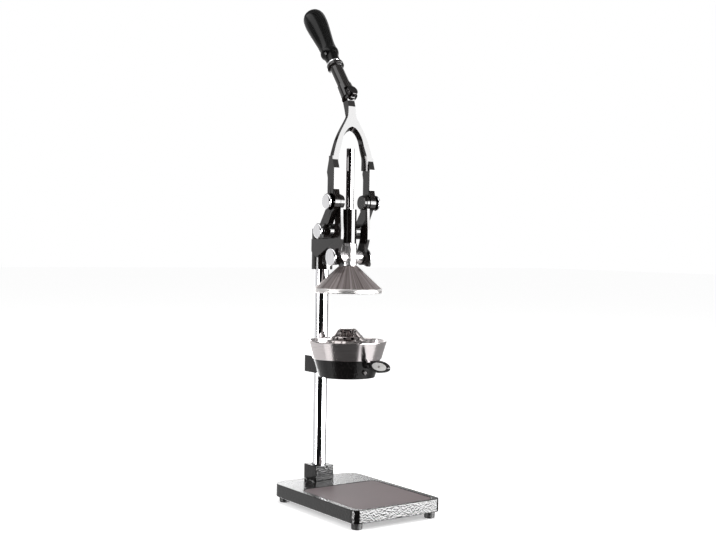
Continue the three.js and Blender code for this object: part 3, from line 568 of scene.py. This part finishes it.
# Foot block: a cast block with chamfered top edges, bolted to the base from below. The column
# stands in its bore, and it has the base's enamel.
def round_bar(name, radius, low, high, sides=96, at=(0, 0)):
    """A plain upright bar between two heights, also used as the drill for a hole."""
    return turned(name, [(0, low), (radius, low), (radius, high), (0, high)], sides, at)


column_bore = 11.3
block_low, block_high = box_mm("column_foot_block")
column_y = middle_mm("column_foot_block")[1]
foot_block = slab("enamelled_foot_block", block_low, block_high, 1.5, 1.5, 3)
choose(foot_block, "edges", lambda edge: (
    all(abs(v.co.z - block_high[2] * MM) < 1e-6 for v in edge.verts)
    and abs(edge.verts[0].co.x - edge.verts[1].co.x) < 1e-6
    and abs(abs(edge.verts[0].co.x) - block_high[0] * MM) < 1e-6
))
bpy.ops.mesh.bevel(offset=2 * MM, segments=1, affect="EDGES")
bpy.ops.object.mode_set(mode="OBJECT")
settled(foot_block)
joined(foot_block, round_bar(
    "block_bore", column_bore, block_low[2] - 1, block_high[2] + 1, 96, (0, column_y),
), "DIFFERENCE")
softened(foot_block, 0.6)
fitted(foot_block, "frame", "enamel", dull_hammertone, "column_foot_block")


# Column: drawn steel tube, polished and chrome plated. It is as bright as a mirror, with faint
# marks along it from polishing.
def stretched(place, scale):
    """Coordinates in which a pattern is drawn out along each axis whose scale is small."""
    return node(place.id_data, "Mapping", None, {"Vector": place, "Scale": scale}).outputs[0]


tube_in, tube_out = 9, 11
column_low, column_high = box_mm("column_tube")
column = softened(turned("chromed_column", [
    (tube_in, column_low[2]), (tube_out, column_low[2]), (tube_out, column_high[2]),
    (tube_in, column_high[2]), (tube_in, column_low[2]),
], 128, (0, column_y)), 0.4)
chrome, tree, shader, place = new_surface("chrome plate", metallic=1.0)
marks = clouds(stretched(place, (1, 1, 0.08)), 1.5, 3.0)
toned(shader, marks, "#bdbcbf", "#efeff0")
glossed(shader, marks, 0.03, 0.09)
fitted(column, "frame", "chrome", chrome, "column_tube")

# Column plug: a cap moulded in black plastic. It is pushed into the column's top inside the
# socket, and its flange closes the tube.
plug_low, plug_high = box_mm("column_plug")
flange_z = column_high[2] + 0.3
plug = softened(turned("black_column_plug", [
    (0, plug_low[2]), (8.7, plug_low[2]), (8.7, flange_z), (tube_out, flange_z),
    (tube_out, plug_high[2] - 1.2), (9.6, plug_high[2]), (0, plug_high[2]),
], 64, (0, column_y)), 0.4)
black_abs, tree, shader, place = new_surface("black moulded plastic", specular=0.17)
wear = clouds(place, 7, 5.0)
toned(shader, wear, "#030303", "#0a0a0a")
glossed(shader, wear, 0.14, 0.26)
fitted(plug, "frame", "plastic", black_abs, "column_plug")


# Head casting: socket, arm, pivot barrel, web and guide tube cast in one piece, enamelled smooth
# and dark. The guide tube is bored for the rod's bushes, and the column is clamped in the socket.
def plate_across(name, outline, low, high, across="X"):
    """Draws an outline corner by corner in millimetres, fills it and extrudes it to a plate.
    Across X the corners are (y, z), across Y they are (x, z)."""
    deselected()

    def corner(a, b):
        return Vector((low, a, b) if across == "X" else (a, low, b)) * MM

    bpy.ops.mesh.primitive_plane_add(size=MM)
    piece = named(name)
    bpy.ops.object.mode_set(mode="EDIT")
    bpy.ops.mesh.select_all(action="SELECT")
    bpy.ops.mesh.merge(type="CENTER")
    bpy.ops.transform.translate(value=corner(*outline[0]))
    for here, there in zip(outline, outline[1:]):
        bpy.ops.mesh.extrude_vertices_move(TRANSFORM_OT_translate={
            "value": corner(*there) - corner(*here),
        })
    bpy.ops.mesh.select_all(action="SELECT")
    bpy.ops.mesh.edge_face_add()
    thick = (high - low) * MM
    bpy.ops.mesh.extrude_region_move(TRANSFORM_OT_translate={
        "value": (thick, 0, 0) if across == "X" else (0, thick, 0),
    })
    bpy.ops.object.mode_set(mode="OBJECT")
    return settled(piece)


def turned_x(name, profile, sides, y, z, side=1):
    """The same as turned, about X: side -1 points it to the left."""
    piece = turned(name, profile, sides)
    piece.rotation_euler = (0, side * math.pi / 2, 0)
    piece.location = (0, y * MM, z * MM)
    return settled(piece)


def round_bar_x(name, radius, low, high, sides, y, z):
    """A plain bar about X, from low to high."""
    return turned_x(name, [(0, low), (radius, low), (radius, high), (0, high)], sides, y, z)


rod_low, rod_high = box_mm("plunger_rod")
plunger_y = middle_mm("plunger_rod")[1]
_, pivot_y, pivot_z = middle_mm("pivot_shaft")
head_low, head_high = box_mm("head_casting")
guide_top, guide_bottom, guide_bore = head_high[2], 402.8, 8.3
arm_top, arm_nose, arm_half = 409.0, 403.0, 17
saddle_front = plunger_y + 9
head = turned("enamelled_head", [
    (column_bore, head_low[2]), (16.75, head_low[2]), (16.75, 425), (column_bore, 425),
    (column_bore, head_low[2]),
], 128, (0, column_y))
arm = plate_across("head_arm", [
    (column_y + 5, arm_top), (saddle_front, arm_top), (saddle_front, arm_nose),
    (pivot_y, arm_nose), (pivot_y + 34, 385), (column_y - 8, 380.5), (column_y + 5, 389.5),
], -arm_half, arm_half)
joined(arm, round_bar(
    "socket_bore", column_bore, head_low[2], arm_top + 1, 128, (0, column_y),
), "DIFFERENCE")
joined(head, arm)
joined(head, slab(
    "head_saddle", (-arm_half, saddle_front, arm_nose), (arm_half, pivot_y + 11.5, pivot_z), 0, 0,
))
joined(head, round_bar_x("pivot_barrel", 11.5, -27.7, 27.7, 64, pivot_y, pivot_z))
joined(head, plate_across("head_web", [
    (plunger_y, guide_bottom + 1), (pivot_y, arm_nose + 1), (pivot_y, pivot_z + 10.3),
    (plunger_y + 8, guide_top - 11.4), (plunger_y, guide_top - 11.4),
], -6, 6))
joined(head, round_bar("guide_tube", 11.4, guide_bottom, guide_top, 128, (0, plunger_y)))
joined(head, round_bar(
    "guide_bore", guide_bore, guide_bottom - 2, guide_top + 2, 96, (0, plunger_y),
), "DIFFERENCE")
softened(head, 0.7, 3)
# Its enamel is the same lacquer on a ground and filled casting, nearly black, without dimples.
enamel, tree, shader, place = new_surface("smooth stoved enamel", roughness=0.1)
toned(shader, clouds(place, 12, 4.0), "#0a0908", "#191514")
bumped(shader, clouds(place, 0.9), 0.12, 0.15)
fitted(head, "frame", "enamel", enamel, "head_casting")

# Guide bushes: sintered bronze rings with fine pores that hold oil. They are pressed into both
# ends of the guide tube.
bronze, tree, shader, place = new_surface("sintered bronze", metallic=1.0, roughness=0.45)
toned(shader, clouds(place, 0.5), "#6d5233", "#a0814f")
refinished("guide_bush_upper", bronze)
refinished("guide_bush_lower", bronze)

# Plunger rod: ground stainless steel bar with a turned chamfer at its top. It slides in the
# bushes, and its foot is fixed in the crosshead.
rod_radius = 6.45
rod = softened(turned("ground_rod", [
    (0, rod_low[2]), (rod_radius, rod_low[2]), (rod_radius, rod_high[2] - 0.8),
    (rod_radius - 0.8, rod_high[2]), (0, rod_high[2]),
], 96, (0, plunger_y)), 0.15)
polished, tree, shader, place = new_surface("polished stainless steel", metallic=1.0)
marks = clouds(stretched(place, (0.05, 0.05, 1)), 0.9, 3.0)
toned(shader, marks, "#bdbabb", "#d8d6d6")
glossed(shader, marks, 0.02, 0.05)
fitted(rod, "plunger", "steel", polished, "plunger_rod")

# Crosshead: a turned stainless neck with a cross barrel welded in, and a stud for the cone below.
cross_z = middle_mm("cross_shaft")[2]
cone_low, cone_high = box_mm("pressing_cone")
cone_top = cone_high[2]
neck_top = box_mm("crosshead")[1][2]
crosshead = turned("polished_crosshead", [
    (0, cone_top - 15), (4.5, cone_top - 15), (4.5, cone_top + 0.3), (12.8, cone_top + 0.3),
    (12.8, neck_top - 0.8), (12, neck_top), (0, neck_top),
], 96, (0, plunger_y))
joined(crosshead, turned_x("cross_barrel", [
    (0, -21.7), (9.4, -21.7), (10, -21.1), (10, 21.1), (9.4, 21.7), (0, 21.7),
], 64, plunger_y, cross_z))
joined(crosshead, round_bar(
    "rod_seat", 6.6, rod_low[2] - 0.3, neck_top + 2, 96, (0, plunger_y),
), "DIFFERENCE")
softened(crosshead, 0.25)
satin_steel = variant(polished, "satin stainless steel", {
    ("Map Range", "To Min"): 0.2, ("Map Range", "To Max"): 0.3,
    ("Principled BSDF", "Metallic"): 0.75,
})
fitted(crosshead, "plunger", "steel", satin_steel, "crosshead")
refinished("cross_shaft", polished)
refinished("pivot_shaft", polished)


# Knobs: turned and chromed heads like door knobs on the ends of the shafts and the lever pins.
# A narrow neck flares out to a polished disc with a rounded edge.
def knob(name, radius, length, start, y, z, side, inner=0):
    """A knob from start outwards. With inner, a pin of its own reaches in from there."""
    flare = [
        (0.44, 0), (0.44, 0.18), (0.47, 0.32), (0.55, 0.44), (0.7, 0.54), (0.88, 0.61), (0.96, 0.66),
        (1, 0.72), (1, 0.8), (0.985, 0.87), (0.95, 0.93), (0.9, 0.97), (0.82, 0.993), (0.7, 1),
    ]
    profile = [(0, start)] if not inner else [(0, inner), (4.5, inner), (4.5, start)]
    profile += [(radius * wide, start + length * along) for wide, along in flare]
    profile.append((0, start + length))
    return softened(turned_x(name, profile, 64, y, z, side), 0, smooth=40)


def inner_end(cad_node):
    """How far from the press's middle a knob's near end is."""
    low, high = box_mm(cad_node)
    return min(abs(low[0]), abs(high[0]))


_, pin_y, pin_z = middle_mm("lever_pin_right")
for side_name, side in (("left", -1), ("right", 1)):
    fitted(knob(
        f"chromed_cross_knob_{side_name}", 13.4, 7.2, inner_end(f"cross_knob_{side_name}"),
        plunger_y, cross_z, side,
    ), "plunger", "chrome", chrome, f"cross_knob_{side_name}")
    fitted(knob(
        f"chromed_pivot_knob_{side_name}", 11.4, 8, inner_end(f"pivot_knob_{side_name}"),
        pivot_y, pivot_z, side,
    ), "frame", "chrome", chrome, f"pivot_knob_{side_name}")
    fitted(knob(
        f"chromed_lever_pin_{side_name}", 11.9, 9.2, 37.8, pin_y, pin_z, side, 27.5,
    ), "lever", "chrome", chrome, f"lever_pin_{side_name}")
    disc = softened(turned_x(f"enamelled_link_pin_{side_name}", [
        (0, 18), (9.4, 18), (10.5, 18.4), (10.9, 19.2), (10.9, 21.4), (10.2, 22), (4.5, 22),
        (4.5, 27.3), (0, 27.3),
    ], 64, pin_y, pin_z, side), 0, smooth=40)
    fitted(disc, "links", "enamel", enamel, f"link_pin_{side_name}")


# Links: cast bars, bowed forward, between the lever pins and the crosshead's shaft. They are
# enamelled like the head, and ground flat where they turn on the pins.
def curved(points, steps=5):
    """Points on a smooth line through the given points."""
    line = []
    ends = [points[0], *points, points[-1]]
    for before, here, there, after in zip(ends, ends[1:], ends[2:], ends[3:]):
        for step in range(steps):
            t = step / steps
            line.append(tuple(
                0.5 * (2 * b + (c - a) * t + (2 * a - 5 * b + 4 * c - d) * t * t
                       + (3 * b - a - 3 * c + d) * t ** 3)
                for a, b, c, d in zip(before, here, there, after)
            ))
    line.append(tuple(points[-1]))
    return line


link_shares_front = [
    (0.1, 0.125), (0.22, 0.165), (0.34, 0.195), (0.5, 0.19), (0.72, 0.158), (0.9, 0.14),
]
link_shares_back = [(0.9, -0.1), (0.74, -0.045), (0.52, -0.03), (0.3, -0.055), (0.12, -0.12)]
along = Vector((pin_y - plunger_y, pin_z - cross_z))
across = Vector((-along.y, along.x))


def on_link(share):
    """A point beside the line between the link's two pins, in shares of that line."""
    point = Vector((plunger_y, cross_z)) + along * share[0] + across * share[1]
    return (point.x, point.y)


link_in, link_out = 22.3, 26.7
waist = [(plunger_y, cross_z - 3)] + curved([on_link(s) for s in link_shares_front]) \
    + [(pin_y, pin_z + 3)] + curved([on_link(s) for s in link_shares_back])
link = plate_across("enamelled_link", waist, link_in, link_out)
for y, z in ((plunger_y, cross_z), (pin_y, pin_z)):
    joined(link, round_bar_x("link_eye", 12, link_in, link_out, 64, y, z))
joined(link, plate_across("link_tail", [
    (plunger_y - 6, cross_z - 6), (plunger_y - 14, cross_z - 13.5), (plunger_y - 20, cross_z - 14),
    (plunger_y - 22, cross_z - 9.5), (plunger_y - 17, cross_z - 3), (plunger_y - 11, cross_z + 6),
], link_in, link_out))
for y, z in ((plunger_y, cross_z), (pin_y, pin_z)):
    joined(link, round_bar_x("link_bore", 4.8, 20, 29, 48, y, z), "DIFFERENCE")
left_link = moved(link, "enamelled_link_left", (0, 0, 0), mirror=True)
link.name = "enamelled_link_right"
for side_name, bar in (("left", left_link), ("right", link)):
    softened(bar, 0.5)
    fitted(bar, "links", "enamel", enamel, f"link_{side_name}")

# Fork: the lever's casting, an arch with two legs that crank back to the pivot, and a slanted
# sleeve for the handle on top. It is cast iron, ground and enamelled like the head.
arch_base = 516.0
arch_span = 114.0
leg_out, leg_in = 37.5, 28.0
outer_shares = [
    (0.168, 1), (0.17, 0.84), (0.2, 0.71), (0.32, 0.63), (0.43, 0.57), (0.59, 0.48), (0.73, 0.385),
    (0.82, 0.305), (0.9, 0.22), (0.95, 0.155), (1, 0.06), (1, -0.02),
]
inner_shares = [
    (1, -0.02), (1, 0.16), (0.91, 0.25), (0.81, 0.332), (0.675, 0.456), (0.475, 0.543), (0.243, 0.6),
    (0, 0.625),
]
outer_line, inner_line = (
    curved([(wide * leg_side, arch_base + high * arch_span) for wide, high in shares], 3)
    for shares, leg_side in ((outer_shares, leg_out), (inner_shares, leg_in))
)
half = outer_line + inner_line
arch_outline = half + [(-x, z) for x, z in reversed(half[:-1])]
arch_front, arch_back = plunger_y - 13, plunger_y + 1.7
fork = plate_across("enamelled_fork", arch_outline, arch_front, arch_back, "Y")
inner_reach = {(round(x, 3), round(z, 3)) for x, z in inner_line}
choose(fork, "verts", lambda v: (
    abs(v.co.y - arch_back * MM) < 1e-6
    and (round(abs(v.co.x) / MM, 3), round(v.co.z / MM, 3)) in inner_reach
))
bpy.ops.transform.resize(value=(0.8, 1, 0.816), center_override=(0, 0, arch_base * MM))
bpy.ops.mesh.select_all(action="SELECT")
# The front leans: 3.4 mm before the rod's middle at the arch's top, 8.5 mm at its foot.
front_top = Vector((0, plunger_y - 3.4, 611)) * MM
front_foot = Vector((0, plunger_y - 8.5, 529)) * MM
leaning = (front_top - front_foot).cross(Vector((-1, 0, 0))).normalized()
bpy.ops.mesh.bisect(plane_co=front_top, plane_no=leaning, clear_outer=True, use_fill=True)
bpy.ops.object.mode_set(mode="OBJECT")
settled(fork)
leg = plate_across("fork_leg", [
    (plunger_y + y, z) for y, z in (
        (0.8, pivot_z + 12), (-13, 458), (-13, 516), (-8.45, 529), (-8.1, 534), (1.72, 534),
        (1.72, 529), (5.2, 516), (6.5, 509.5), (5.2, 505), (4.3, 501), (4.3, 477), (8.2, 454.4),
        (23.6, pivot_z + 10.8), (20, pivot_z),
    )
], leg_in, leg_out)
joined(leg, round_bar_x("fork_eye", 12, leg_in, leg_out, 64, pivot_y, pivot_z))
joined(leg, round_bar_x("pin_boss", 12.8, leg_in, leg_out, 64, pin_y, pin_z))
joined(leg, plate_across("pin_boss_rib", [
    (plunger_y - 11, pin_z), (pin_y - 12.8, pin_z), (pin_y - 11.5, pin_z + 5.6),
    (plunger_y - 13, pin_z + 18.8), (plunger_y - 11, pin_z + 18.8),
], leg_in, leg_out))
other_leg = moved(leg, "fork_other_leg", (0, 0, 0), mirror=True)
joined(fork, leg)
joined(fork, other_leg)
# The neck's front stands 3 mm back above its fold at 611 mm.
joined(fork, slab(
    "neck_fold_cut", (-20, plunger_y - 20, 611), (20, plunger_y - 0.4, 640), 0, 0,
), "DIFFERENCE")
joined(fork, plate_across("fork_neck", [
    (plunger_y - 1.5, 584), (plunger_y + 1, 584), (plunger_y + 7.7, 605.5), (plunger_y + 16.4, 630),
    (plunger_y - 0.4, 630), (plunger_y - 0.4, 620), (plunger_y - 3.4, 611), (plunger_y - 3.6, 600),
], -6.3, 6.3))
HANDLE_TILT = math.radians(37.5)
handle_y, handle_z = plunger_y + 10.9, 634.2


def along_handle(piece):
    """Lays a piece that was turned about Z along the leaning handle."""
    piece.rotation_euler = (-HANDLE_TILT, 0, 0)
    piece.location = (0, handle_y * MM, handle_z * MM)
    return settled(piece)


joined(fork, along_handle(turned("handle_sleeve", [(0, -12), (12.6, -12), (11.3, 12), (0, 12)], 96)))
BOLT_DROP = 8
BOLT_SEAT = 7


def across_handle(piece):
    """Turns a piece that was turned about Z to the front, square to the handle, at the bolt."""
    piece.rotation_euler = (-math.pi / 2, 0, 0)
    piece.location = (0, 0, -BOLT_DROP * MM)
    return along_handle(settled(piece))


joined(fork, across_handle(turned("bolt_boss", [
    (0, -7), (9.1, -7), (9.7, -6.4), (9.7, 0), (0, 0),
], 64)))
joined(fork, along_handle(slab(
    "bolt_flat", (-15, -15, -BOLT_DROP - 12), (15, -BOLT_SEAT, -BOLT_DROP + 9.3), 0, 0,
)), "DIFFERENCE")
softened(fork, 0.6, 2, 38, 14)
fitted(fork, "lever", "enamel", enamel, "fork_casting")

# Handle arm: a turned steel shaft with a flange at its upper end, pinned into the fork's sleeve
# and enamelled. Its tang reaches up into the grip.
arm_piece = softened(along_handle(turned("enamelled_handle_arm", [
    (0, 11), (9.9, 12.3), (9.9, 49.4), (11.6, 50.6), (13.4, 51.6), (13.4, 56.4), (12.8, 57), (0, 57),
], 96)), 0.3)
fitted(arm_piece, "lever", "enamel", enamel, "handle_arm")

# Handle bolt: a round headed steel bolt that holds the handle in the sleeve. It is blackened and
# worn bright, and sits on a flat that is milled into the sleeve.
bolt = across_handle(turned("worn_handle_bolt", [
    (0, -14.3), (7, -14.3), (8, -13.9), (8.7, -13.1), (9, -12), (9, -7.9), (8.5, -7.3), (3.5, -7.3),
    (3.5, -5.4), (0, -5.4),
], 64))
softened(bolt, 0.2)
blackened, tree, shader, place = new_surface("blackened steel", metallic=1.0, roughness=0.2)
toned(shader, clouds(place, 3, 4.0), "#161515", "#4a4848")
fitted(bolt, "lever", "chrome", blackened, "handle_bolt")

# Ferrule: a turned and chromed steel ring. It sits on the tang between the handle's flange and
# the grip, and covers the joint.
ferrule = softened(along_handle(turned("chromed_ferrule", [
    (5.3, 57.3), (11.5, 57.3), (12.2, 58), (12.2, 59.6), (11.5, 60.3), (5.3, 60.3), (5.3, 57.3),
], 96)), 0.15)
fitted(ferrule, "lever", "chrome", chrome, "grip_ferrule")

# Grip: a bulb moulded in black glossy plastic, with a lip at its lower end. It is pushed on the
# handle's tang.
grip_start, grip_end = 60.6, 171
grip_line = curved([
    (11.2, grip_start), (11, 67), (11.7, 73), (13.5, 77), (14.5, 80.5), (14.4, 84), (13.6, 88),
    (13.7, 100), (15.2, 114), (17, 129), (18.2, 141), (18.4, 150), (17.8, 158), (15.6, 164.3),
    (11.6, 168.6), (6.4, 170.6), (2.2, grip_end),
], 3)
grip = softened(along_handle(turned(
    "moulded_grip", [(0, grip_start)] + grip_line + [(0, grip_end)], 96,
)), 0, smooth=50)
fitted(grip, "lever", "plastic", black_abs, "grip")

# Pressing cone: a spun stainless bell with a rolled rim band. The tool leaves streaks down its
# sides, so it is satin and warm grey, and the rim is bright.
rim_z = cone_low[2]
cone = turned("spun_cone", [
    (4.8, cone_top - 3), (14, cone_top - 3), (19.3, cone_top - 9.2), (47, rim_z + 8),
    (48.4, rim_z + 5), (48.4, rim_z),
    (50.9, rim_z), (51.6, rim_z + 0.8), (51.8, rim_z + 2), (51.8, rim_z + 5.2), (51.5, rim_z + 6.4),
    (50.8, rim_z + 7.1), (50.2, rim_z + 7.5), (21.5, cone_top - 7), (18, cone_top - 3.7),
    (15, cone_top - 1.2), (13.4, cone_top), (4.8, cone_top),
    (4.8, cone_top - 3),
], 192, (0, plunger_y))
softened(cone, 0.15)
spun, tree, shader, place = new_surface("spun stainless steel", metallic=0.87)
centred = node(tree, "Mapping", None, {"Vector": place, "Location": (0, -plunger_y * MM, 0)})
parts = node(tree, "SeparateXYZ", None, {0: centred.outputs[0]})
round_cone = node(tree, "Math", {"operation": "ARCTAN2"}, {
    0: parts.outputs["Y"], 1: parts.outputs["X"],
})
streaks = node(tree, "TexNoise", {"noise_dimensions": "1D"}, {
    "W": round_cone.outputs[0], "Scale": 9.0, "Detail": 5.0, "Roughness": 0.7,
})
side_of_cone = node(tree, "MapRange", None, {
    "Value": parts.outputs["Z"], "From Min": (rim_z + 6.6) * MM, "From Max": (rim_z + 7.6) * MM,
}).outputs[0]
streak_tone = node(tree, "ValToRGB", None, {"Fac": streaks.outputs["Fac"]})
for stop, share, colour in zip(
    streak_tone.color_ramp.elements, (0.36, 0.66), ("#6d6362", "#aca3a2"),
):
    stop.position = share
    stop.color = linear(colour)
tone = node(tree, "Mix", {"data_type": "RGBA"}, {
    "Factor": side_of_cone, 6: linear("#c9c6c5"), 7: streak_tone.outputs["Color"],
})
tree.links.new(tone.outputs[2], shader.inputs["Base Color"])
glossed(shader, side_of_cone, 0.34, 0.42)
fitted(cone, "plunger", "spun", spun, "pressing_cone")
refinished("cone_nut", zinc)

# Cup holder: ring, neck and clamp in one casting in black hammertone, with a rounded tab at the
# front. It slides on the column and is clamped by a bolt from behind.
ring_bottom = box_mm("cup_holder")[0][2]
tab_end = box_mm("cup_holder")[0][1]
ring_top, ring_out, ring_foot, ring_wall = 227.0, 51.2, 43.0, 4.2
tab_z = 222.0
clamp_top = 225.3
holder = turned("enamelled_holder", [
    (ring_foot - ring_wall, ring_bottom), (ring_foot, ring_bottom), (ring_out, ring_top),
    (ring_out - ring_wall, ring_top), (ring_foot - ring_wall, ring_bottom),
], 160, (0, plunger_y))
neck = slab("holder_neck", (-14, plunger_y + 38, ring_bottom), (14, column_y, clamp_top), 0, 0)
joined(neck, slab(
    "holder_clamp", (-18, column_y - 18, ring_bottom), (18, column_y + 20, clamp_top), 3, 3, 4,
))
joined(neck, turned("neck_clearance", [
    (0, ring_bottom - 1), (ring_foot - ring_wall + 0.4, ring_bottom - 1),
    (ring_out - ring_wall + 0.4, ring_top + 1), (0, ring_top + 1),
], 160, (0, plunger_y)), "DIFFERENCE")
joined(holder, neck)


def oval(name, middle_y, middle_z, half_length, half_height, low, high):
    """An oval plate across X, with its middle at y and z."""
    steps = [math.tau * step / 48 for step in range(48)]
    return plate_across(name, [
        (middle_y + half_length * math.cos(a), middle_z + half_height * math.sin(a)) for a in steps
    ], low, high)


tab = oval("holder_tab", tab_end + 26.4, tab_z, 24.6, 8.6, -3.2, 3.2)
root = turned("tab_root", [(0, 0), (3, 0), (5.2, 1.5), (5.6, 4), (5.6, 34), (0, 34)], 48)
root.rotation_euler = (-math.pi / 2, 0, 0)
root.location = (0, (tab_end + 43) * MM, tab_z * MM)
joined(tab, settled(root))
joined(tab, turned("ring_clearance", [
    (0, ring_bottom - 1), (ring_foot - 2, ring_bottom - 1), (ring_out - 2, ring_top + 0.2),
    (60.5, ring_top + 0.2), (60.5, ring_top + 20), (0, ring_top + 20),
], 160, (0, plunger_y)), "DIFFERENCE")
joined(holder, tab)
plate_low, plate_high = box_mm("tab_plate")
_, plate_y, plate_z = middle_mm("tab_plate")
joined(holder, oval(
    "plate_seat", plate_y, plate_z, 18.3, 6.3, -14, plate_high[0] + 0.2,
), "DIFFERENCE")
joined(holder, round_bar(
    "holder_bore", column_bore, ring_bottom - 2, ring_top + 2, 96, (0, column_y),
), "DIFFERENCE")
softened(holder, 0.6, 2, 40)
fitted(holder, "holder", "enamel", dull_hammertone, "cup_holder")
dull_black = variant(blackened, "dull blackened steel", {("Principled BSDF", "Roughness"): 0.6})
refinished("tab_screw", dull_black)

# Tab plate: a blank oval of light metal, let into the left side of the tab and held by a rivet.
tab_plate = softened(oval(
    "satin_tab_plate", plate_y, plate_z, 18, 6, plate_low[0], plate_high[0],
), 0.4)
satin, tree, shader, place = new_surface("satin aluminium", metallic=0.6, roughness=0.32)
toned(shader, clouds(stretched(place, (1, 0.06, 1)), 0.7, 3.0), "#aeadab", "#dddcda")
fitted(tab_plate, "holder", "plate", satin, "tab_plate")
refinished("plate_rivet", zinc)

# Cup: spun stainless steel, a bowl whose shoulder rests on the ring. The outside is polished round
# its axis, with fine rings from the polishing belt.
cup = turned("spun_cup", [
    (11.4, 201), (13, 201), (13, 205), (40, 206.6), (46.6, 227.3), (52.4, 227.3), (52.9, 227.9),
    (60.1, 252.7), (60.5, 253.6), (60.4, 254.3), (59.9, 254.7), (59.3, 254.4), (58.9, 253.6),
    (51.4, 229.2), (50.8, 228.9), (45, 228.9), (38.6, 208.2), (11.4, 206.6), (11.4, 201),
], 192, (0, plunger_y))
softened(cup, 0.1)
cup_steel, tree, shader, place = new_surface("belt polished stainless steel", metallic=1.0)
marks = clouds(stretched(place, (0.03, 0.03, 1)), 0.8, 4.0)
toned(shader, marks, "#b3acac", "#d2cccc")
glossed(shader, marks, 0.1, 0.24)
fitted(cup, "cup", "steel", cup_steel, "cup")

# Reamer: a pressed stainless dome with ribs and rows of drain holes, on a flat flange that rests
# on the cup's shoulder.
top_z = box_mm("reamer")[1][2]
RIBS = 12
outside = [
    (43, 231.2), (40.8, 236.5), (38.4, 242), (37, 243.2), (34.6, 248.4), (33.8, 250), (31.5, 251.2),
    (29.8, 254.6), (28.9, 256), (26.2, 257.1), (23.8, 260.6), (23.1, 261.9), (20.8, 263.2),
    (18, 266.6), (15, 270), (12.2, 272.5), (10.9, top_z),
]
inside = [(radius - 1.4, height - 1.2) for radius, height in reversed(outside[:-1])]
reamer = turned("pressed_reamer", [(50.7, 229.3), (50.7, 230.8), (45, 230.8)] + outside[1:] + [
    (2, top_z), (2, top_z - 1.2), (10, top_z - 1.2),
] + inside + [(41.5, 229.3), (50.7, 229.3)], RIBS * 12, (0, plunger_y))


def between_ribs(v):
    x, y = v.co.x, v.co.y - plunger_y * MM
    place_in_rib = (math.degrees(math.atan2(y, x)) * RIBS / 360) % 1
    return v.co.z > 233 * MM and math.hypot(x, y) > 9 * MM and 0.3 < place_in_rib < 0.7


choose(reamer, "verts", between_ribs)
bpy.ops.transform.resize(value=(0.9, 0.9, 1), center_override=(0, plunger_y * MM, 0.25))
bpy.ops.object.mode_set(mode="OBJECT")
# Each row of holes: its radius and height on the dome, and how far its drill leans. A drill starts
# some way inside the dome and a little below its hole.
hole_rows = ((36, 240, 58), (29.5, 249, 55), (22.5, 258, 50), (14.5, 267, 45))
drill_back, drill_drop = 7, 5
drill = round_bar("drain_drill", 2.2, 0, 14, 16)
drills = []
for radius, height, lean in hole_rows:
    for step in range(RIBS):
        a = math.tau * (step + 0.5) / RIBS
        hole = moved(drill, "drain_drill", (0, 0, 0))
        hole.rotation_euler = (0, math.radians(lean), a)
        hole.location = (
            (radius - drill_back) * math.cos(a) * MM,
            (plunger_y + (radius - drill_back) * math.sin(a)) * MM, (height - drill_drop) * MM,
        )
        drills.append(settled(hole))
bpy.data.objects.remove(drill)
only(drills[0])
for hole in drills:
    hole.select_set(True)
bpy.ops.object.join()
joined(reamer, drills[0], "DIFFERENCE")
softened(reamer, 0, smooth=38)
pressed_steel = variant(polished, "pressed stainless steel", {
    ("Map Range", "To Min"): 0.12, ("Map Range", "To Max"): 0.2,
    ("Mix", 6): linear("#8a8483"), ("Mix", 7): linear("#a7a1a0"),
})
fitted(reamer, "cup", "steel", pressed_steel, "reamer")
